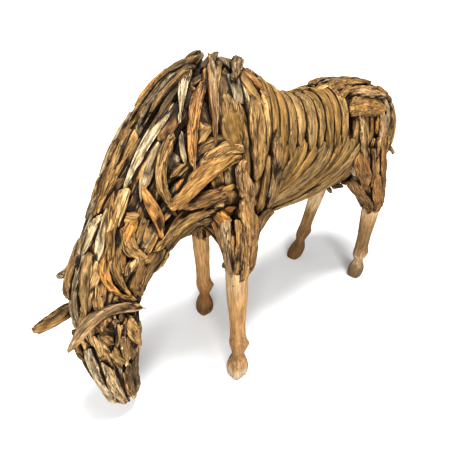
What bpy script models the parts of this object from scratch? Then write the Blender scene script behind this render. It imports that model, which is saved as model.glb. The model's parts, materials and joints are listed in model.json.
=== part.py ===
"""A life-size grazing horse put together from weathered driftwood.

The horse faces -X, its left side is -Y and its hooves stand on z = 0.  The trunk, neck and
head are layers of driftwood fused side by side, so each region is one closed solid whose
surface carries the separate sticks as ribs.  Four turned lower legs carry it.  The large
sticks that lie on top, such as the mane, are solids of their own, scribed to what they lie on.
Lengths are metres.
"""
import math
import random

import bmesh
import bpy
from mathutils import Vector

# ------------------------------------------------------------------ driving dimensions
GAP = 0.0006            # clearance that a scribed piece keeps to what it lies on
SEAM = 0.0005           # clearance between two regions of the body
MIDDLE_X = 0.309        # middle of the overall length, counted from the left fore hoof
GROOVE = 0.011          # depth of the grooves between fused sticks
SQUARENESS = 2.25       # exponent of the body's cross-sections, 2 is an ellipse
MERGE = 0.00001         # points this close after a cut are one
SHORTEST = 0.00005      # an edge shorter than this after a cut is closed up
FLAT = 0.005            # angle in radians below which two faces count as one
LEG_SIDES = 10
RIB_COLUMNS = 14        # points round the trunk where the sticks are ribs
RIB_SWEEP = 0.16        # how far the ribs sweep forward below, as a share of their region

# Cross-sections from the dock to the muzzle:
# top x, top z, underside x, underside z, half width, egg (+ is wider above)
SECTIONS = (
    (1.205, 1.020, 1.170, 0.780, 0.135, 0.00),   # 0 dock
    (1.132, 1.134, 1.100, 0.690, 0.200, 0.00),   # 1 point of the hip
    (1.000, 1.172, 1.000, 0.640, 0.222, 0.00),   # 2 croup
    (0.850, 1.172, 0.850, 0.645, 0.224, 0.00),   # 3
    (0.700, 1.152, 0.700, 0.650, 0.220, -0.04),  # 4 loin
    (0.550, 1.138, 0.550, 0.652, 0.220, -0.06),  # 5
    (0.400, 1.148, 0.400, 0.652, 0.218, -0.06),  # 6 back
    (0.270, 1.190, 0.270, 0.652, 0.210, -0.06),  # 7
    (0.150, 1.258, 0.150, 0.660, 0.203, -0.08),  # 8 girth
    (0.020, 1.292, 0.030, 0.687, 0.192, -0.10),  # 9 withers
    (-0.120, 1.240, -0.060, 0.709, 0.170, -0.12),  # 10 shoulder
    (-0.243, 1.147, -0.124, 0.706, 0.148, -0.12),  # 11
    (-0.343, 1.028, -0.194, 0.688, 0.131, -0.12),  # 12
    (-0.424, 0.887, -0.262, 0.632, 0.119, -0.10),  # 13 neck
    (-0.492, 0.763, -0.319, 0.570, 0.109, -0.05),  # 14
    (-0.551, 0.644, -0.362, 0.502, 0.105, 0.00),   # 15 poll
    (-0.570, 0.538, -0.368, 0.445, 0.107, 0.05),   # 16 brow
    (-0.571, 0.425, -0.364, 0.370, 0.107, 0.10),   # 17 eyes
    (-0.558, 0.298, -0.388, 0.275, 0.086, 0.10),   # 18 cheek
    (-0.543, 0.190, -0.396, 0.182, 0.070, 0.05),   # 19 nose
    (-0.526, 0.114, -0.394, 0.122, 0.069, 0.00),   # 20 nostrils
    (-0.508, 0.076, -0.416, 0.086, 0.054, 0.00),   # 21 muzzle
)

# Regions: name, first and last station, way the sticks run, and how many there are: ribs
# side by side along the region, or rows along it and strips round it
REGIONS = (
    ("rump_sticks", 0.0, 3.9, "lengthwise", (4, 10)),
    ("barrel_ribs", 3.9, 7.6, "round", 11),
    ("shoulder_sticks", 7.6, 10.2, "round", 6),
    ("lower_neck_sticks", 10.2, 12.8, "lengthwise", (3, 10)),
    ("upper_neck_sticks", 12.8, 15.6, "lengthwise", (3, 10)),
    ("head_sticks", 15.6, 21.0, "lengthwise", (4, 8)),
)

# Turned lower legs: height and radius, from the sole to the joint above
FORE_PROFILE = (
    (0.000, 0.040), (0.014, 0.047), (0.050, 0.048), (0.090, 0.042), (0.130, 0.026),
    (0.160, 0.034), (0.185, 0.039), (0.230, 0.032), (0.300, 0.033), (0.380, 0.036),
    (0.420, 0.038),
)
HIND_PROFILE = (
    (0.000, 0.040), (0.014, 0.047), (0.048, 0.048), (0.085, 0.042), (0.120, 0.027),
    (0.148, 0.036), (0.170, 0.040), (0.215, 0.034), (0.300, 0.035), (0.390, 0.041),
    (0.465, 0.044),
)
# Lower legs: name, profile, middle of the sole, middle of the top
LOWER_LEGS = (
    ("left_fore_leg", FORE_PROFILE, (-0.007, -0.210), (-0.024, -0.210)),
    ("right_fore_leg", FORE_PROFILE, (0.150, 0.210), (0.135, 0.210)),
    ("left_hind_leg", HIND_PROFILE, (1.080, -0.178), (1.065, -0.200)),
    ("right_hind_leg", HIND_PROFILE, (0.970, 0.222), (1.138, 0.200)),
)
# Upper legs: name and rings of height, middle x, middle y, half length, half width
UPPER_LEGS = (
    ("left_forearm_sticks", (
        (0.420, -0.024, -0.210, 0.040, 0.041), (0.500, -0.020, -0.207, 0.040, 0.045),
        (0.600, -0.002, -0.197, 0.054, 0.056), (0.720, 0.016, -0.174, 0.086, 0.070),
        (0.840, 0.030, -0.136, 0.100, 0.062))),
    ("right_forearm_sticks", (
        (0.420, 0.135, 0.210, 0.046, 0.046), (0.500, 0.138, 0.207, 0.054, 0.050),
        (0.600, 0.142, 0.197, 0.076, 0.060), (0.720, 0.140, 0.172, 0.100, 0.072),
        (0.840, 0.128, 0.136, 0.104, 0.062))),
    ("left_thigh_sticks", (
        (0.465, 1.065, -0.200, 0.048, 0.046), (0.540, 1.046, -0.202, 0.068, 0.052),
        (0.620, 1.005, -0.198, 0.102, 0.058), (0.750, 0.957, -0.180, 0.143, 0.070),
        (0.880, 0.940, -0.160, 0.172, 0.080), (0.980, 0.920, -0.140, 0.160, 0.078))),
    ("right_thigh_sticks", (
        (0.465, 1.138, 0.200, 0.048, 0.046), (0.540, 1.120, 0.202, 0.064, 0.052),
        (0.620, 1.060, 0.198, 0.094, 0.058), (0.750, 0.985, 0.180, 0.148, 0.070),
        (0.880, 0.945, 0.160, 0.172, 0.080), (0.980, 0.920, 0.140, 0.160, 0.078))),
)
STRIPS_ON_UPPER_LEG = 6

# Large sticks that lie on the body: name, wood, width, thickness, and a path of stations,
# degrees round the body and lift of the stick's middle above the skin.
# A stick is scribed to those named before it, so the lowest layer comes first.
ON_BODY = (
    ("shoulder_plank_a", "tan", 0.080, 0.030,
     ((8.45, 54, 0.008), (8.65, 80, 0.010), (8.75, 104, 0.008))),
    ("shoulder_plank_b", "tan", 0.062, 0.026,
     ((8.05, 72, 0.008), (7.95, 104, 0.009), (7.72, 146, 0.010))),
    ("shoulder_plank_c", "brown", 0.085, 0.030,
     ((9.25, 92, 0.008), (9.10, 112, 0.010), (8.95, 134, 0.030))),
    ("shoulder_plate", "tan", 0.095, 0.026,
     ((9.50, 56, 0.008), (9.25, 80, 0.010))),
    ("withers_plate", "orange", 0.072, 0.026,
     ((8.75, 28, 0.010), (8.35, 56, 0.012))),
    ("chest_leaf", "tan", 0.085, 0.026,
     ((11.75, 88, 0.006), (10.40, 86, 0.010), (9.30, 90, 0.010))),
    ("chest_plank", "brown", 0.065, 0.026,
     ((11.50, 102, 0.006), (10.40, 106, 0.009), (9.40, 110, 0.008))),
    ("throat_plank", "tan", 0.055, 0.026,
     ((12.90, 100, 0.006), (11.60, 110, 0.008), (10.30, 122, 0.006))),
    ("mane_stick_a", "brown", 0.050, 0.028,
     ((9.60, 2, 0.010), (10.40, 12, 0.012), (11.30, 20, 0.008))),
    ("mane_stick_b", "grey", 0.044, 0.026,
     ((10.50, 30, 0.008), (11.50, 33, 0.010), (12.50, 36, 0.006))),
    ("mane_stick_c", "tan", 0.046, 0.026,
     ((11.40, 4, 0.008), (12.30, 6, 0.010), (13.20, 8, 0.008))),
    ("mane_stick_d", "tan", 0.050, 0.026,
     ((10.80, 52, 0.008), (11.60, 56, 0.010), (11.80, 98, 0.010))),
    ("mane_stick_e", "orange", 0.046, 0.026,
     ((12.20, 52, 0.008), (12.25, 78, 0.010), (12.50, 108, 0.008))),
    ("mane_stick_f", "tan", 0.048, 0.026,
     ((12.60, 30, 0.008), (13.30, 40, 0.010), (14.00, 52, 0.006))),
    ("mane_stick_g", "grey", 0.046, 0.026,
     ((12.80, -6, 0.008), (13.60, -8, 0.010), (14.50, -6, 0.008))),
    ("mane_stick_i", "tan", 0.048, 0.026,
     ((13.95, 23, 0.009), (14.80, 29, 0.011), (15.75, 38, 0.009))),
    ("mane_stick_j", "grey", 0.034, 0.022,
     ((14.20, -30, 0.006), (14.70, -33, 0.016), (15.10, -36, 0.060))),
    ("mane_stick_k", "orange", 0.048, 0.028,
     ((9.70, 34, 0.010), (10.35, 50, 0.012), (10.75, 82, 0.012))),
    ("mane_stick_l", "grey", 0.046, 0.026,
     ((9.15, 14, 0.012), (9.70, 44, 0.026), (10.00, 72, 0.014))),
    ("mane_stick_m", "grey", 0.042, 0.026,
     ((9.10, -6, 0.008), (9.90, 16, 0.022), (10.70, 46, 0.028))),
    ("mane_stick_n", "brown", 0.048, 0.028,
     ((8.00, 4, 0.018), (8.50, 22, 0.022), (9.10, 42, 0.028))),
    ("mane_stick_o", "brown", 0.046, 0.024,
     ((7.60, 4, 0.014), (7.95, 34, 0.010))),
    ("crest_rod", "tan", 0.046, 0.030,
     ((9.90, -16, 0.016), (10.90, -18, 0.012))),
    ("right_shoulder_plank", "tan", 0.080, 0.028,
     ((8.40, -48, 0.008), (8.60, -80, 0.010), (8.75, -112, 0.008))),
    ("right_mane_stick_a", "brown", 0.048, 0.026,
     ((9.10, -30, 0.010), (10.00, -44, 0.012), (10.90, -60, 0.008))),
    ("right_mane_stick_b", "grey", 0.048, 0.026,
     ((11.00, -28, 0.008), (12.00, -36, 0.010), (13.00, -50, 0.006))),
    ("right_mane_stick_c", "tan", 0.052, 0.028,
     ((13.95, -20, 0.008), (14.90, -34, 0.014), (15.90, -50, 0.026))),
    ("rump_stick_a", "brown", 0.055, 0.026,
     ((3.95, 4, 0.004), (2.80, 12, 0.008), (1.30, 14, 0.008))),
    ("rump_stick_b", "orange", 0.085, 0.028,
     ((3.70, 36, 0.008), (2.90, 42, 0.012), (1.90, 48, 0.008))),
    ("haunch_plank_a", "tan", 0.065, 0.026,
     ((3.70, 58, 0.006), (3.55, 84, 0.010), (3.10, 112, 0.010))),
    ("haunch_plank_b", "grey", 0.062, 0.026,
     ((2.50, 62, 0.006), (2.45, 86, 0.014), (2.50, 108, 0.020))),
    ("haunch_plank_c", "tan", 0.058, 0.026,
     ((1.45, 58, 0.006), (1.55, 84, 0.014), (1.80, 112, 0.020))),
    ("right_haunch_plank", "tan", 0.064, 0.026,
     ((2.65, -57, 0.007), (2.60, -84, 0.015), (2.55, -106, 0.021))),
    ("nose_plank_a", "grey", 0.052, 0.022,
     ((16.90, 24, 0.008), (18.60, 28, 0.010), (20.70, 34, 0.006))),
    ("nose_plank_b", "tan", 0.044, 0.020,
     ((17.40, 54, 0.007), (19.00, 58, 0.009), (20.70, 66, 0.006))),
    ("right_nose_plank", "tan", 0.056, 0.022,
     ((16.90, -26, 0.008), (18.60, -30, 0.010), (20.70, -36, 0.006))),
    ("cheek_plank", "tan", 0.056, 0.022,
     ((15.50, 100, 0.008), (16.40, 114, 0.010), (17.30, 130, 0.008))),
)
# Sticks that stand off the body: name, wood, width, thickness, outward side, path in space
IN_SPACE = (
    ("left_ear", "grey", 0.050, 0.020, (0, -1, 0.2),
     ((-0.385, -0.110, 0.548), (-0.510, -0.122, 0.540), (-0.640, -0.112, 0.512))),
    ("right_ear", "tan", 0.060, 0.018, (0, -1, 0.2),
     ((-0.520, 0.088, 0.495), (-0.590, 0.098, 0.490), (-0.688, 0.104, 0.488))),
    ("tail_stick_a", "brown", 0.052, 0.026, (1, 0, 0.2),
     ((1.180, -0.020, 1.030), (1.228, -0.030, 0.930), (1.252, -0.035, 0.640))),
    ("tail_stick_b", "tan", 0.048, 0.026, (1, 0, 0.2),
     ((1.180, 0.045, 1.010), (1.225, 0.048, 0.900), (1.240, 0.040, 0.560))),
    ("tail_spike", "tan", 0.036, 0.024, (1, -0.4, 0.2),
     ((1.180, -0.075, 0.930), (1.240, -0.110, 0.850), (1.300, -0.170, 0.745))),
)
COLOURS = {
    "tan": (0.45, 0.30, 0.16), "brown": (0.30, 0.18, 0.09), "grey": (0.38, 0.32, 0.25),
    "orange": (0.45, 0.23, 0.08), "bare": (0.42, 0.25, 0.12),
}


# ------------------------------------------------------------------ scene and materials
for old in list(bpy.data.objects):
    bpy.data.objects.remove(old, do_unlink=True)


def collection(name):
    """A new collection of the scene."""
    made = bpy.data.collections.new(name)
    bpy.context.scene.collection.children.link(made)
    return made


HORSE = collection("driftwood_horse")


def driftwood(name, colour, roughness=0.85):
    """A matt wood material with one overall colour."""
    material = bpy.data.materials.new(name)
    material.use_nodes = True
    shader = material.node_tree.nodes["Principled BSDF"]
    shader.inputs["Base Color"].default_value = (*colour, 1.0)
    shader.inputs["Roughness"].default_value = roughness
    shader.inputs["Metallic"].default_value = 0.0
    return material


# ------------------------------------------------------------------ the body's surface
def section(station):
    """Section values at a station, through a Catmull-Rom curve over SECTIONS."""
    last = len(SECTIONS) - 1
    first = min(max(int(math.floor(station)), 0), last - 1)
    t = station - first
    a, b, c, d = (SECTIONS[min(max(first + k, 0), last)] for k in (-1, 0, 1, 2))
    return [
        q + 0.5 * t * (r - p + t * (2 * p - 5 * q + 4 * r - w + t * (3 * (q - r) + w - p)))
        for p, q, r, w in zip(a, b, c, d)
    ]


def skin(station, degrees, lift=0.0):
    """Point on the body: 0 degrees is the top line, + goes round to the horse's left."""
    top_x, top_z, under_x, under_z, half_width, egg = section(station)
    middle = Vector(((top_x + under_x) / 2, 0, (top_z + under_z) / 2))
    rise = Vector(((top_x - under_x) / 2, 0, (top_z - under_z) / 2))
    cosine, sine = math.cos(math.radians(degrees)), math.sin(math.radians(degrees))
    reach = (abs(cosine) ** SQUARENESS + abs(sine) ** SQUARENESS) ** (-1 / SQUARENESS)
    width = half_width * (1 + egg * cosine)
    sideways = Vector((0, -1, 0))
    outward = rise.normalized() * (cosine / rise.length) + sideways * (sine / width)
    point = middle + rise * (cosine * reach) + sideways * (width * sine * reach)
    return point + outward.normalized() * lift


# ------------------------------------------------------------------ solids
def solid(name, rings, material):
    """A closed solid lofted through rings of equally many points, with flat ends."""
    mesh = bpy.data.meshes.new(name)
    work = bmesh.new()
    loops = [[work.verts.new(point) for point in ring] for ring in rings]
    for here, there in zip(loops, loops[1:]):
        for k in range(len(here)):
            after = (k + 1) % len(here)
            work.faces.new((here[k], here[after], there[after], there[k]))
    work.faces.new(reversed(loops[0]))
    work.faces.new(loops[-1])
    bmesh.ops.triangulate(work, faces=work.faces[:])
    bmesh.ops.recalc_face_normals(work, faces=work.faces[:])
    work.to_mesh(mesh)
    work.free()
    mesh.materials.append(material)
    made = bpy.data.objects.new(name, mesh)
    HORSE.objects.link(made)
    return made


def ribs(first, last, count, dice):
    """Rings round a stretch of the body whose sticks run round it, side by side.

    They stand upright on the upper half and sweep forward below it.
    """
    heights = [[dice.uniform(0.0, GROOVE * 0.7) for _ in range(2)] for _ in range(count + 1)]
    profile = [(rib + part, rib, raised) for rib in range(count)
               for part, raised in ((0.0, False), (0.16, True), (0.84, True))]
    profile.append((count, count, False))
    rings = []
    for place, rib, raised in profile:
        t = place / count
        ring = []
        for k in range(RIB_COLUMNS):
            degrees = 360 * k / RIB_COLUMNS
            below = max(0.0, -math.cos(math.radians(degrees))) ** 0.7
            swept = t + RIB_SWEEP * math.sin(math.pi * t) * below
            lower = 1 if below > 0.35 else 0
            lift = heights[rib][lower] if raised else -GROOVE
            ring.append(skin(first + (last - first) * swept, degrees, lift))
        rings.append(ring)
    return rings


def strips(first, last, rows, count, dice):
    """Rings round a stretch of the body whose sticks run lengthwise.

    Strips lie between grooves, broken like bricks where one stick ends and the next begins.
    """
    heights = [[dice.uniform(0.0, GROOVE * 0.7) for _ in range(rows)] for _ in range(count)]
    rings = []
    for k in range(2 * rows + 1):
        t = k / (2 * rows)
        ring = []
        for column in range(count * 3):
            strip, part = divmod(column, 3)
            degrees = 360 * (strip + (0.0, 0.2, 0.8)[part]) / count
            broken = k % 2 == 0 and (k // 2 + strip) % 2 == 0
            lift = heights[strip][min(k // 2, rows - 1)]
            if part == 0:
                lift = -GROOVE
            elif broken and 0 < k < 2 * rows:
                lift = -GROOVE * 0.5
            ring.append(skin(first + (last - first) * t, degrees, lift))
        rings.append(ring)
    return rings


def draw_in(rings, first, last):
    """Draws the end rings in by half a seam so that neighbouring regions stay clear."""
    for ring, inner, station in ((rings[0], rings[1], first), (rings[-1], rings[-2], last)):
        step = sum(inner, Vector()) / len(inner) - sum(ring, Vector()) / len(ring)
        top_x, top_z, under_x, under_z = section(station)[:4]
        across = Vector((top_x - under_x, 0, top_z - under_z)).cross(Vector((0, 1, 0)))
        across.normalize()
        if across.dot(step) < 0:
            across.negate()
        for k in range(len(ring)):
            ring[k] = ring[k] + across * (SEAM / 2)


def lower_leg(name, profile, sole, top):
    """A turned leg with hoof, pastern, fetlock and cannon, leaning from sole to top."""
    height = profile[-1][0]
    rings = []
    for z, radius in profile:
        t = z / height
        hoof = max(0.0, 1 - z / 0.11)
        spur = math.exp(-((z - 0.172) / 0.022) ** 2)
        x = sole[0] + (top[0] - sole[0]) * t - 0.008 * hoof + 0.006 * spur
        y = sole[1] + (top[1] - sole[1]) * t
        ring = []
        for k in range(LEG_SIDES):
            turn = 2 * math.pi * (k + 0.5) / LEG_SIDES
            long = radius * (1.0 + 0.16 * hoof + 0.10 * spur)
            ring.append(Vector((x + long * math.cos(turn), y + radius * math.sin(turn), z)))
        rings.append(ring)
    return solid(name, rings, WOODS["bare"])


def upper_leg(name, rings, dice):
    """A bundle of upright sticks round the top of a leg."""
    columns = STRIPS_ON_UPPER_LEG * 3
    heights = [dice.uniform(0.0, 0.006) for _ in range(STRIPS_ON_UPPER_LEG)]
    loft = []
    for index, (z, x, y, long, wide) in enumerate(rings):
        z += SEAM if index == 0 else 0.0
        ring = []
        for column in range(columns):
            strip, part = divmod(column, 3)
            turn = 2 * math.pi * (strip + (0.0, 0.22, 0.78)[part]) / STRIPS_ON_UPPER_LEG
            lift = heights[strip] if part else -0.008
            outward = Vector((math.cos(turn) / long, math.sin(turn) / wide, 0)).normalized()
            point = Vector((x + long * math.cos(turn), y + wide * math.sin(turn), z))
            ring.append(point + outward * lift)
        loft.append(ring)
    return solid(name, loft, WOODS["brown"])


def stick(name, wood, width, thickness, path, sides):
    """A flattened, six-sided stick along a path, with a blunt root and a pointed tip."""
    stops = (0.0, 0.14, 0.5, 0.84, 1.0)
    girths = (0.62, 0.95, 1.0, 0.72, 0.16)
    rings = []
    for stop, girth in zip(stops, girths):
        here = along(path, stop)
        ahead = (along(path, min(1.0, stop + 0.02)) - along(path, max(0.0, stop - 0.02))).normalized()
        outward = along(sides, stop).normalized()
        across = ahead.cross(outward).normalized()
        outward = across.cross(ahead).normalized()
        half, depth = width / 2 * girth, thickness / 2 * (0.45 + 0.55 * girth)
        rings.append([
            here + across * (half * a) + outward * (depth * b)
            for a, b in ((1, 0), (0.55, 1), (-0.55, 1), (-1, 0), (-0.55, -1), (0.55, -1))
        ])
    return solid(name, rings, WOODS[wood])


def along(points, t):
    """Point at share t of a smooth curve through two or three points."""
    if len(points) == 2:
        return points[0].lerp(points[1], t)
    start, middle, end = points
    handle = middle * 2 - (start + end) / 2
    return start * (1 - t) ** 2 + handle * (2 * t * (1 - t)) + end * t ** 2


def box(made):
    """Lowest and highest corner of a mesh object."""
    points = [v.co for v in made.data.vertices]
    low = Vector(min(p[k] for p in points) for k in range(3))
    high = Vector(max(p[k] for p in points) for k in range(3))
    return low, high


def swollen(made):
    """A cutter: the solid a little larger all over, so that what it cuts stays clear."""
    mesh = made.data.copy()
    work = bmesh.new()
    work.from_mesh(mesh)
    work.normal_update()
    for vertex in work.verts:
        vertex.co += vertex.normal * GAP
    work.to_mesh(mesh)
    work.free()
    cutter = bpy.data.objects.new("cutter_" + made.name, mesh)
    cutter.hide_render = True
    cutter.display_type = "WIRE"
    CUTTERS.objects.link(cutter)
    return cutter


def scribe(piece, others):
    """Cuts away what the piece shares with the others and keeps its largest body."""
    low, high = box(piece)
    for other in others:
        other_low, other_high = box(other)
        if any(other_low[k] > high[k] + GAP or other_high[k] < low[k] - GAP for k in range(3)):
            continue
        cut = piece.modifiers.new("scribe", "BOOLEAN")
        cut.operation = "DIFFERENCE"
        cut.object = CUTTER_OF[other.name]
    graph = bpy.context.evaluated_depsgraph_get()
    mesh = bpy.data.meshes.new_from_object(piece.evaluated_get(graph))
    piece.modifiers.clear()
    work = bmesh.new()
    work.from_mesh(mesh)
    bmesh.ops.remove_doubles(work, verts=work.verts[:], dist=MERGE)
    bmesh.ops.dissolve_degenerate(work, edges=work.edges[:], dist=SHORTEST)
    bodies = islands(work)
    keep = max(bodies, key=lambda faces: sum(f.calc_area() for f in faces))
    spare = [face for faces in bodies if faces is not keep for face in faces]
    bmesh.ops.delete(work, geom=spare, context="FACES")
    bmesh.ops.dissolve_limit(
        work, angle_limit=FLAT, verts=work.verts[:], edges=work.edges[:], use_dissolve_boundaries=False)
    bmesh.ops.triangulate(work, faces=work.faces[:])
    bmesh.ops.recalc_face_normals(work, faces=work.faces[:])
    work.to_mesh(mesh)
    work.free()
    piece.data = mesh


def islands(work):
    """Faces of a mesh in groups that hang together."""
    left = set(work.faces)
    groups = []
    while left:
        group, front = [], [left.pop()]
        while front:
            face = front.pop()
            group.append(face)
            near = {other for edge in face.edges for other in edge.link_faces} & left
            left -= near
            front.extend(near)
        groups.append(group)
    return groups


# ------------------------------------------------------------------ build
CUTTERS = collection("scribing_cutters")
WOODS = {name: driftwood(name + "_wood", colour) for name, colour in COLOURS.items()}
CUTTER_OF = {}
laid = []


def lay(made, scribed=True):
    """Fits a new solid to those laid before it.  Its own cutter is its uncut shape."""
    CUTTER_OF[made.name] = swollen(made)
    if scribed:
        scribe(made, laid)
    laid.append(made)


dice = random.Random(7)
for name, first, last, way, count in REGIONS:
    rings = ribs(first, last, count, dice) if way == "round" else strips(first, last, *count, dice)
    draw_in(rings, first, last)
    lay(solid(name, rings, WOODS["tan"]), scribed=False)
for name, profile, sole, top in LOWER_LEGS:
    lay(lower_leg(name, profile, sole, top), scribed=False)
for name, rings in UPPER_LEGS:
    lay(upper_leg(name, rings, dice))
for name, wood, width, thickness, route in ON_BODY:
    path = [skin(*place) for place in route]
    sides = [skin(s, d, lift + 0.01) - skin(s, d, lift) for s, d, lift in route]
    lay(stick(name, wood, width, thickness, path, sides))
for name, wood, width, thickness, side, route in IN_SPACE:
    path = [Vector(place) for place in route]
    lay(stick(name, wood, width, thickness, path, [Vector(side)] * 3))
for cutter in CUTTER_OF.values():
    bpy.data.objects.remove(cutter, do_unlink=True)
for made in laid:
    for vertex in made.data.vertices:
        vertex.co.x -= MIDDLE_X
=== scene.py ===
# %% [markdown]
# # A life-size horse of driftwood
# The real object is a grazing horse put together from several hundred pieces of driftwood on
# four carved legs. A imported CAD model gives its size, its pose and its largest sticks. This
# lesson dresses that model: every stick is swept along a path that is laid over the body, and
# gets the grain, splits and worm holes of wood that has been in the sea.
# The horse faces -X, its left side is -Y and its hooves stand on z = 0. Lengths are metres.

# %% Load the fixed frame
import json
import math
import random

import bmesh
import bpy
import numpy as np
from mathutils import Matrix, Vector
from mathutils.bvhtree import BVHTree


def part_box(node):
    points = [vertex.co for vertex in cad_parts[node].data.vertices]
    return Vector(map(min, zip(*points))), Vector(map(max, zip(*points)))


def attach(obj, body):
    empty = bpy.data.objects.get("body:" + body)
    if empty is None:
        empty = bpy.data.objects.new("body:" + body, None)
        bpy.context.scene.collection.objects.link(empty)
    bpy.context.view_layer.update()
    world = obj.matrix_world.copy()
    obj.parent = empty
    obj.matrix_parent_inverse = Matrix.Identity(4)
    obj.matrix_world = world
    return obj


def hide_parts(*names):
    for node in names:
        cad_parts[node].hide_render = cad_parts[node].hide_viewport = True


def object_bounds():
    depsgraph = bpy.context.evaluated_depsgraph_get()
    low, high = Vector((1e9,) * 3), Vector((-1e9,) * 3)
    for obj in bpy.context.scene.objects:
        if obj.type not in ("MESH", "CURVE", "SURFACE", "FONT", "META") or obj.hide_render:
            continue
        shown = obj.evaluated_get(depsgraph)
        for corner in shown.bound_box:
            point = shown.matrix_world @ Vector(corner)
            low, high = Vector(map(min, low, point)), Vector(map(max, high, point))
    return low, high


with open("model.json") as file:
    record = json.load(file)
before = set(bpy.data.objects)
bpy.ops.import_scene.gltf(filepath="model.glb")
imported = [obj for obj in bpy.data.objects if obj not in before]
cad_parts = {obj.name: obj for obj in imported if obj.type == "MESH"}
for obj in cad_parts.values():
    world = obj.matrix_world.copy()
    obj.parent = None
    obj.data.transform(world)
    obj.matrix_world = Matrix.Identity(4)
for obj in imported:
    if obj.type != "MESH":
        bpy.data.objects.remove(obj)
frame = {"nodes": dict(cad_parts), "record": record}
CAD_BOX = [list(corner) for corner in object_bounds()]
NODES = frame["nodes"]
SLOT_OF = {row["node"]: row["material_slot"] for row in frame["record"]["subparts"]}
print("CAD nodes:", len(NODES), "box:", CAD_BOX)

# %% [markdown]
# ## Small helpers
# Five short functions that later cells share: one puts an object in the scene, one aims a
# camera or a lamp, one stores numbers on a mesh where node trees can read them, and two work
# on rows of coordinates. Written once here, they keep the cells that make wood short.

# %% Small helpers
def put(name, data):
    """A new object in the scene."""
    made = bpy.data.objects.new(name, data)
    bpy.context.scene.collection.objects.link(made)
    return made


def aim(thing, spot, ahead):
    """Stands a camera or a lamp at a spot and turns it to look ahead."""
    thing.location = spot
    thing.rotation_euler = Vector(ahead).to_track_quat("-Z", "Y").to_euler()


def write(mesh, name, values):
    """Stores a number, or a row of three, for each point of a mesh."""
    values = np.asarray(values, float)
    kind, field = ("FLOAT", "value") if values.ndim == 1 else ("FLOAT_VECTOR", "vector")
    mesh.attributes.new(name, kind, "POINT").data.foreach_set(field, values.ravel())


def unit(rows):
    """Rows of three, each made one long."""
    return rows / np.linalg.norm(rows, axis=1, keepdims=True)


def softened(rows, times):
    """Rows whose inner ones are drawn towards the mean of their neighbours."""
    for _ in range(times):
        rows[1:-1] = (rows[:-2] + 2 * rows[1:-1] + rows[2:]) / 4
    return rows


print("a row made one long:", unit(np.array([(3.0, 0.0, 4.0)]))[0])

# %% [markdown]
# ## The camera
# The camera comes first, so that every later cell can be looked at. It stands to the left of
# the head, about as high as the withers, and looks back along the body and down, which makes
# the lowered head large and the hind legs small. A short lens this close gives the strong
# perspective that someone sees who stands right beside the horse.

# %% Camera
CAMERA_SPOT = Vector((-1.129, -1.0, 1.35))
TURN_FROM_Y = math.radians(42.73)     # from +Y towards +X
LOOK_DOWN = math.radians(27.62)
LENS_MM, SENSOR_MM = 28.48, 36.0

lens = bpy.data.cameras.new("view from the left of the head")
lens.lens, lens.sensor_width = LENS_MM, SENSOR_MM
lens.clip_start = 0.05
camera = put("camera", lens)
gaze = Vector((math.sin(TURN_FROM_Y) * math.cos(LOOK_DOWN),
               math.cos(TURN_FROM_Y) * math.cos(LOOK_DOWN), -math.sin(LOOK_DOWN)))
aim(camera, CAMERA_SPOT, gaze)
bpy.context.scene.camera = camera
print("camera at", tuple(CAMERA_SPOT), "looking along", [round(v, 3) for v in gaze])

# %% [markdown]
# ## The body's surface, measured
# The sticks have to lie on the body, so we need a way to ask where the body's surface is. The
# CAD body is six stretches that meet at flat ends. Those ends are easy to find, because they
# hold the largest faces. Between them we lay a row of section planes, and in each plane we
# shoot rays back at the stretch from outside. That gives a chart of the surface with two
# coordinates: a *place* (0 at the dock, 1 where rump and barrel meet, up to 6 at the muzzle)
# and *degrees* round the body (0 on the top line, + round to the horse's left).

# %% Flat ends of the six stretches
STRETCHES = ("rump_sticks", "barrel_ribs", "shoulder_sticks",
             "lower_neck_sticks", "upper_neck_sticks", "head_sticks")
TO_LEFT = np.array((0.0, -1.0, 0.0))
FLATS_TRIED = 60                       # the two ends are among the largest flat faces


def merged(node):
    """A bmesh copy of a CAD node with its loose triangles joined up."""
    work = bmesh.new()
    work.from_mesh(NODES[node].data)
    bmesh.ops.remove_doubles(work, verts=work.verts[:], dist=0.00002)
    return work


def flat_ends(node):
    """The two largest flat faces of a stretch, each as an array of its corner points."""
    work = merged(node)
    work.normal_update()
    left = set(work.faces)
    flats = []
    for _ in range(FLATS_TRIED):
        largest = max(left, key=lambda face: face.calc_area())
        normal, spot = largest.normal.copy(), largest.calc_center_median()
        level = {face for face in left if abs(face.normal.dot(normal)) > 0.999
                 and abs((face.calc_center_median() - spot).dot(normal)) < 0.0005}
        left -= level
        corners = np.array([v.co for v in {v for face in level for v in face.verts}])
        flats.append((sum(face.calc_area() for face in level), corners))
    work.free()
    return [corners for _, corners in sorted(flats, key=lambda flat: -flat[0])[:2]]


def section_of(corners, ahead):
    """Middle, upward direction, half height and half width of one flat end."""
    flat = corners[:, [0, 2]]
    middle = flat.mean(axis=0)
    rise = np.linalg.svd(flat - middle, full_matrices=False)[2][0]
    rise = rise if rise[0] * ahead[1] - rise[1] * ahead[0] > 0 else -rise
    reach = flat @ rise
    middle = middle + rise * ((reach.max() + reach.min()) / 2 - middle @ rise)
    return middle, rise, (reach.max() - reach.min()) / 2, abs(corners[:, 1]).max()


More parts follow.
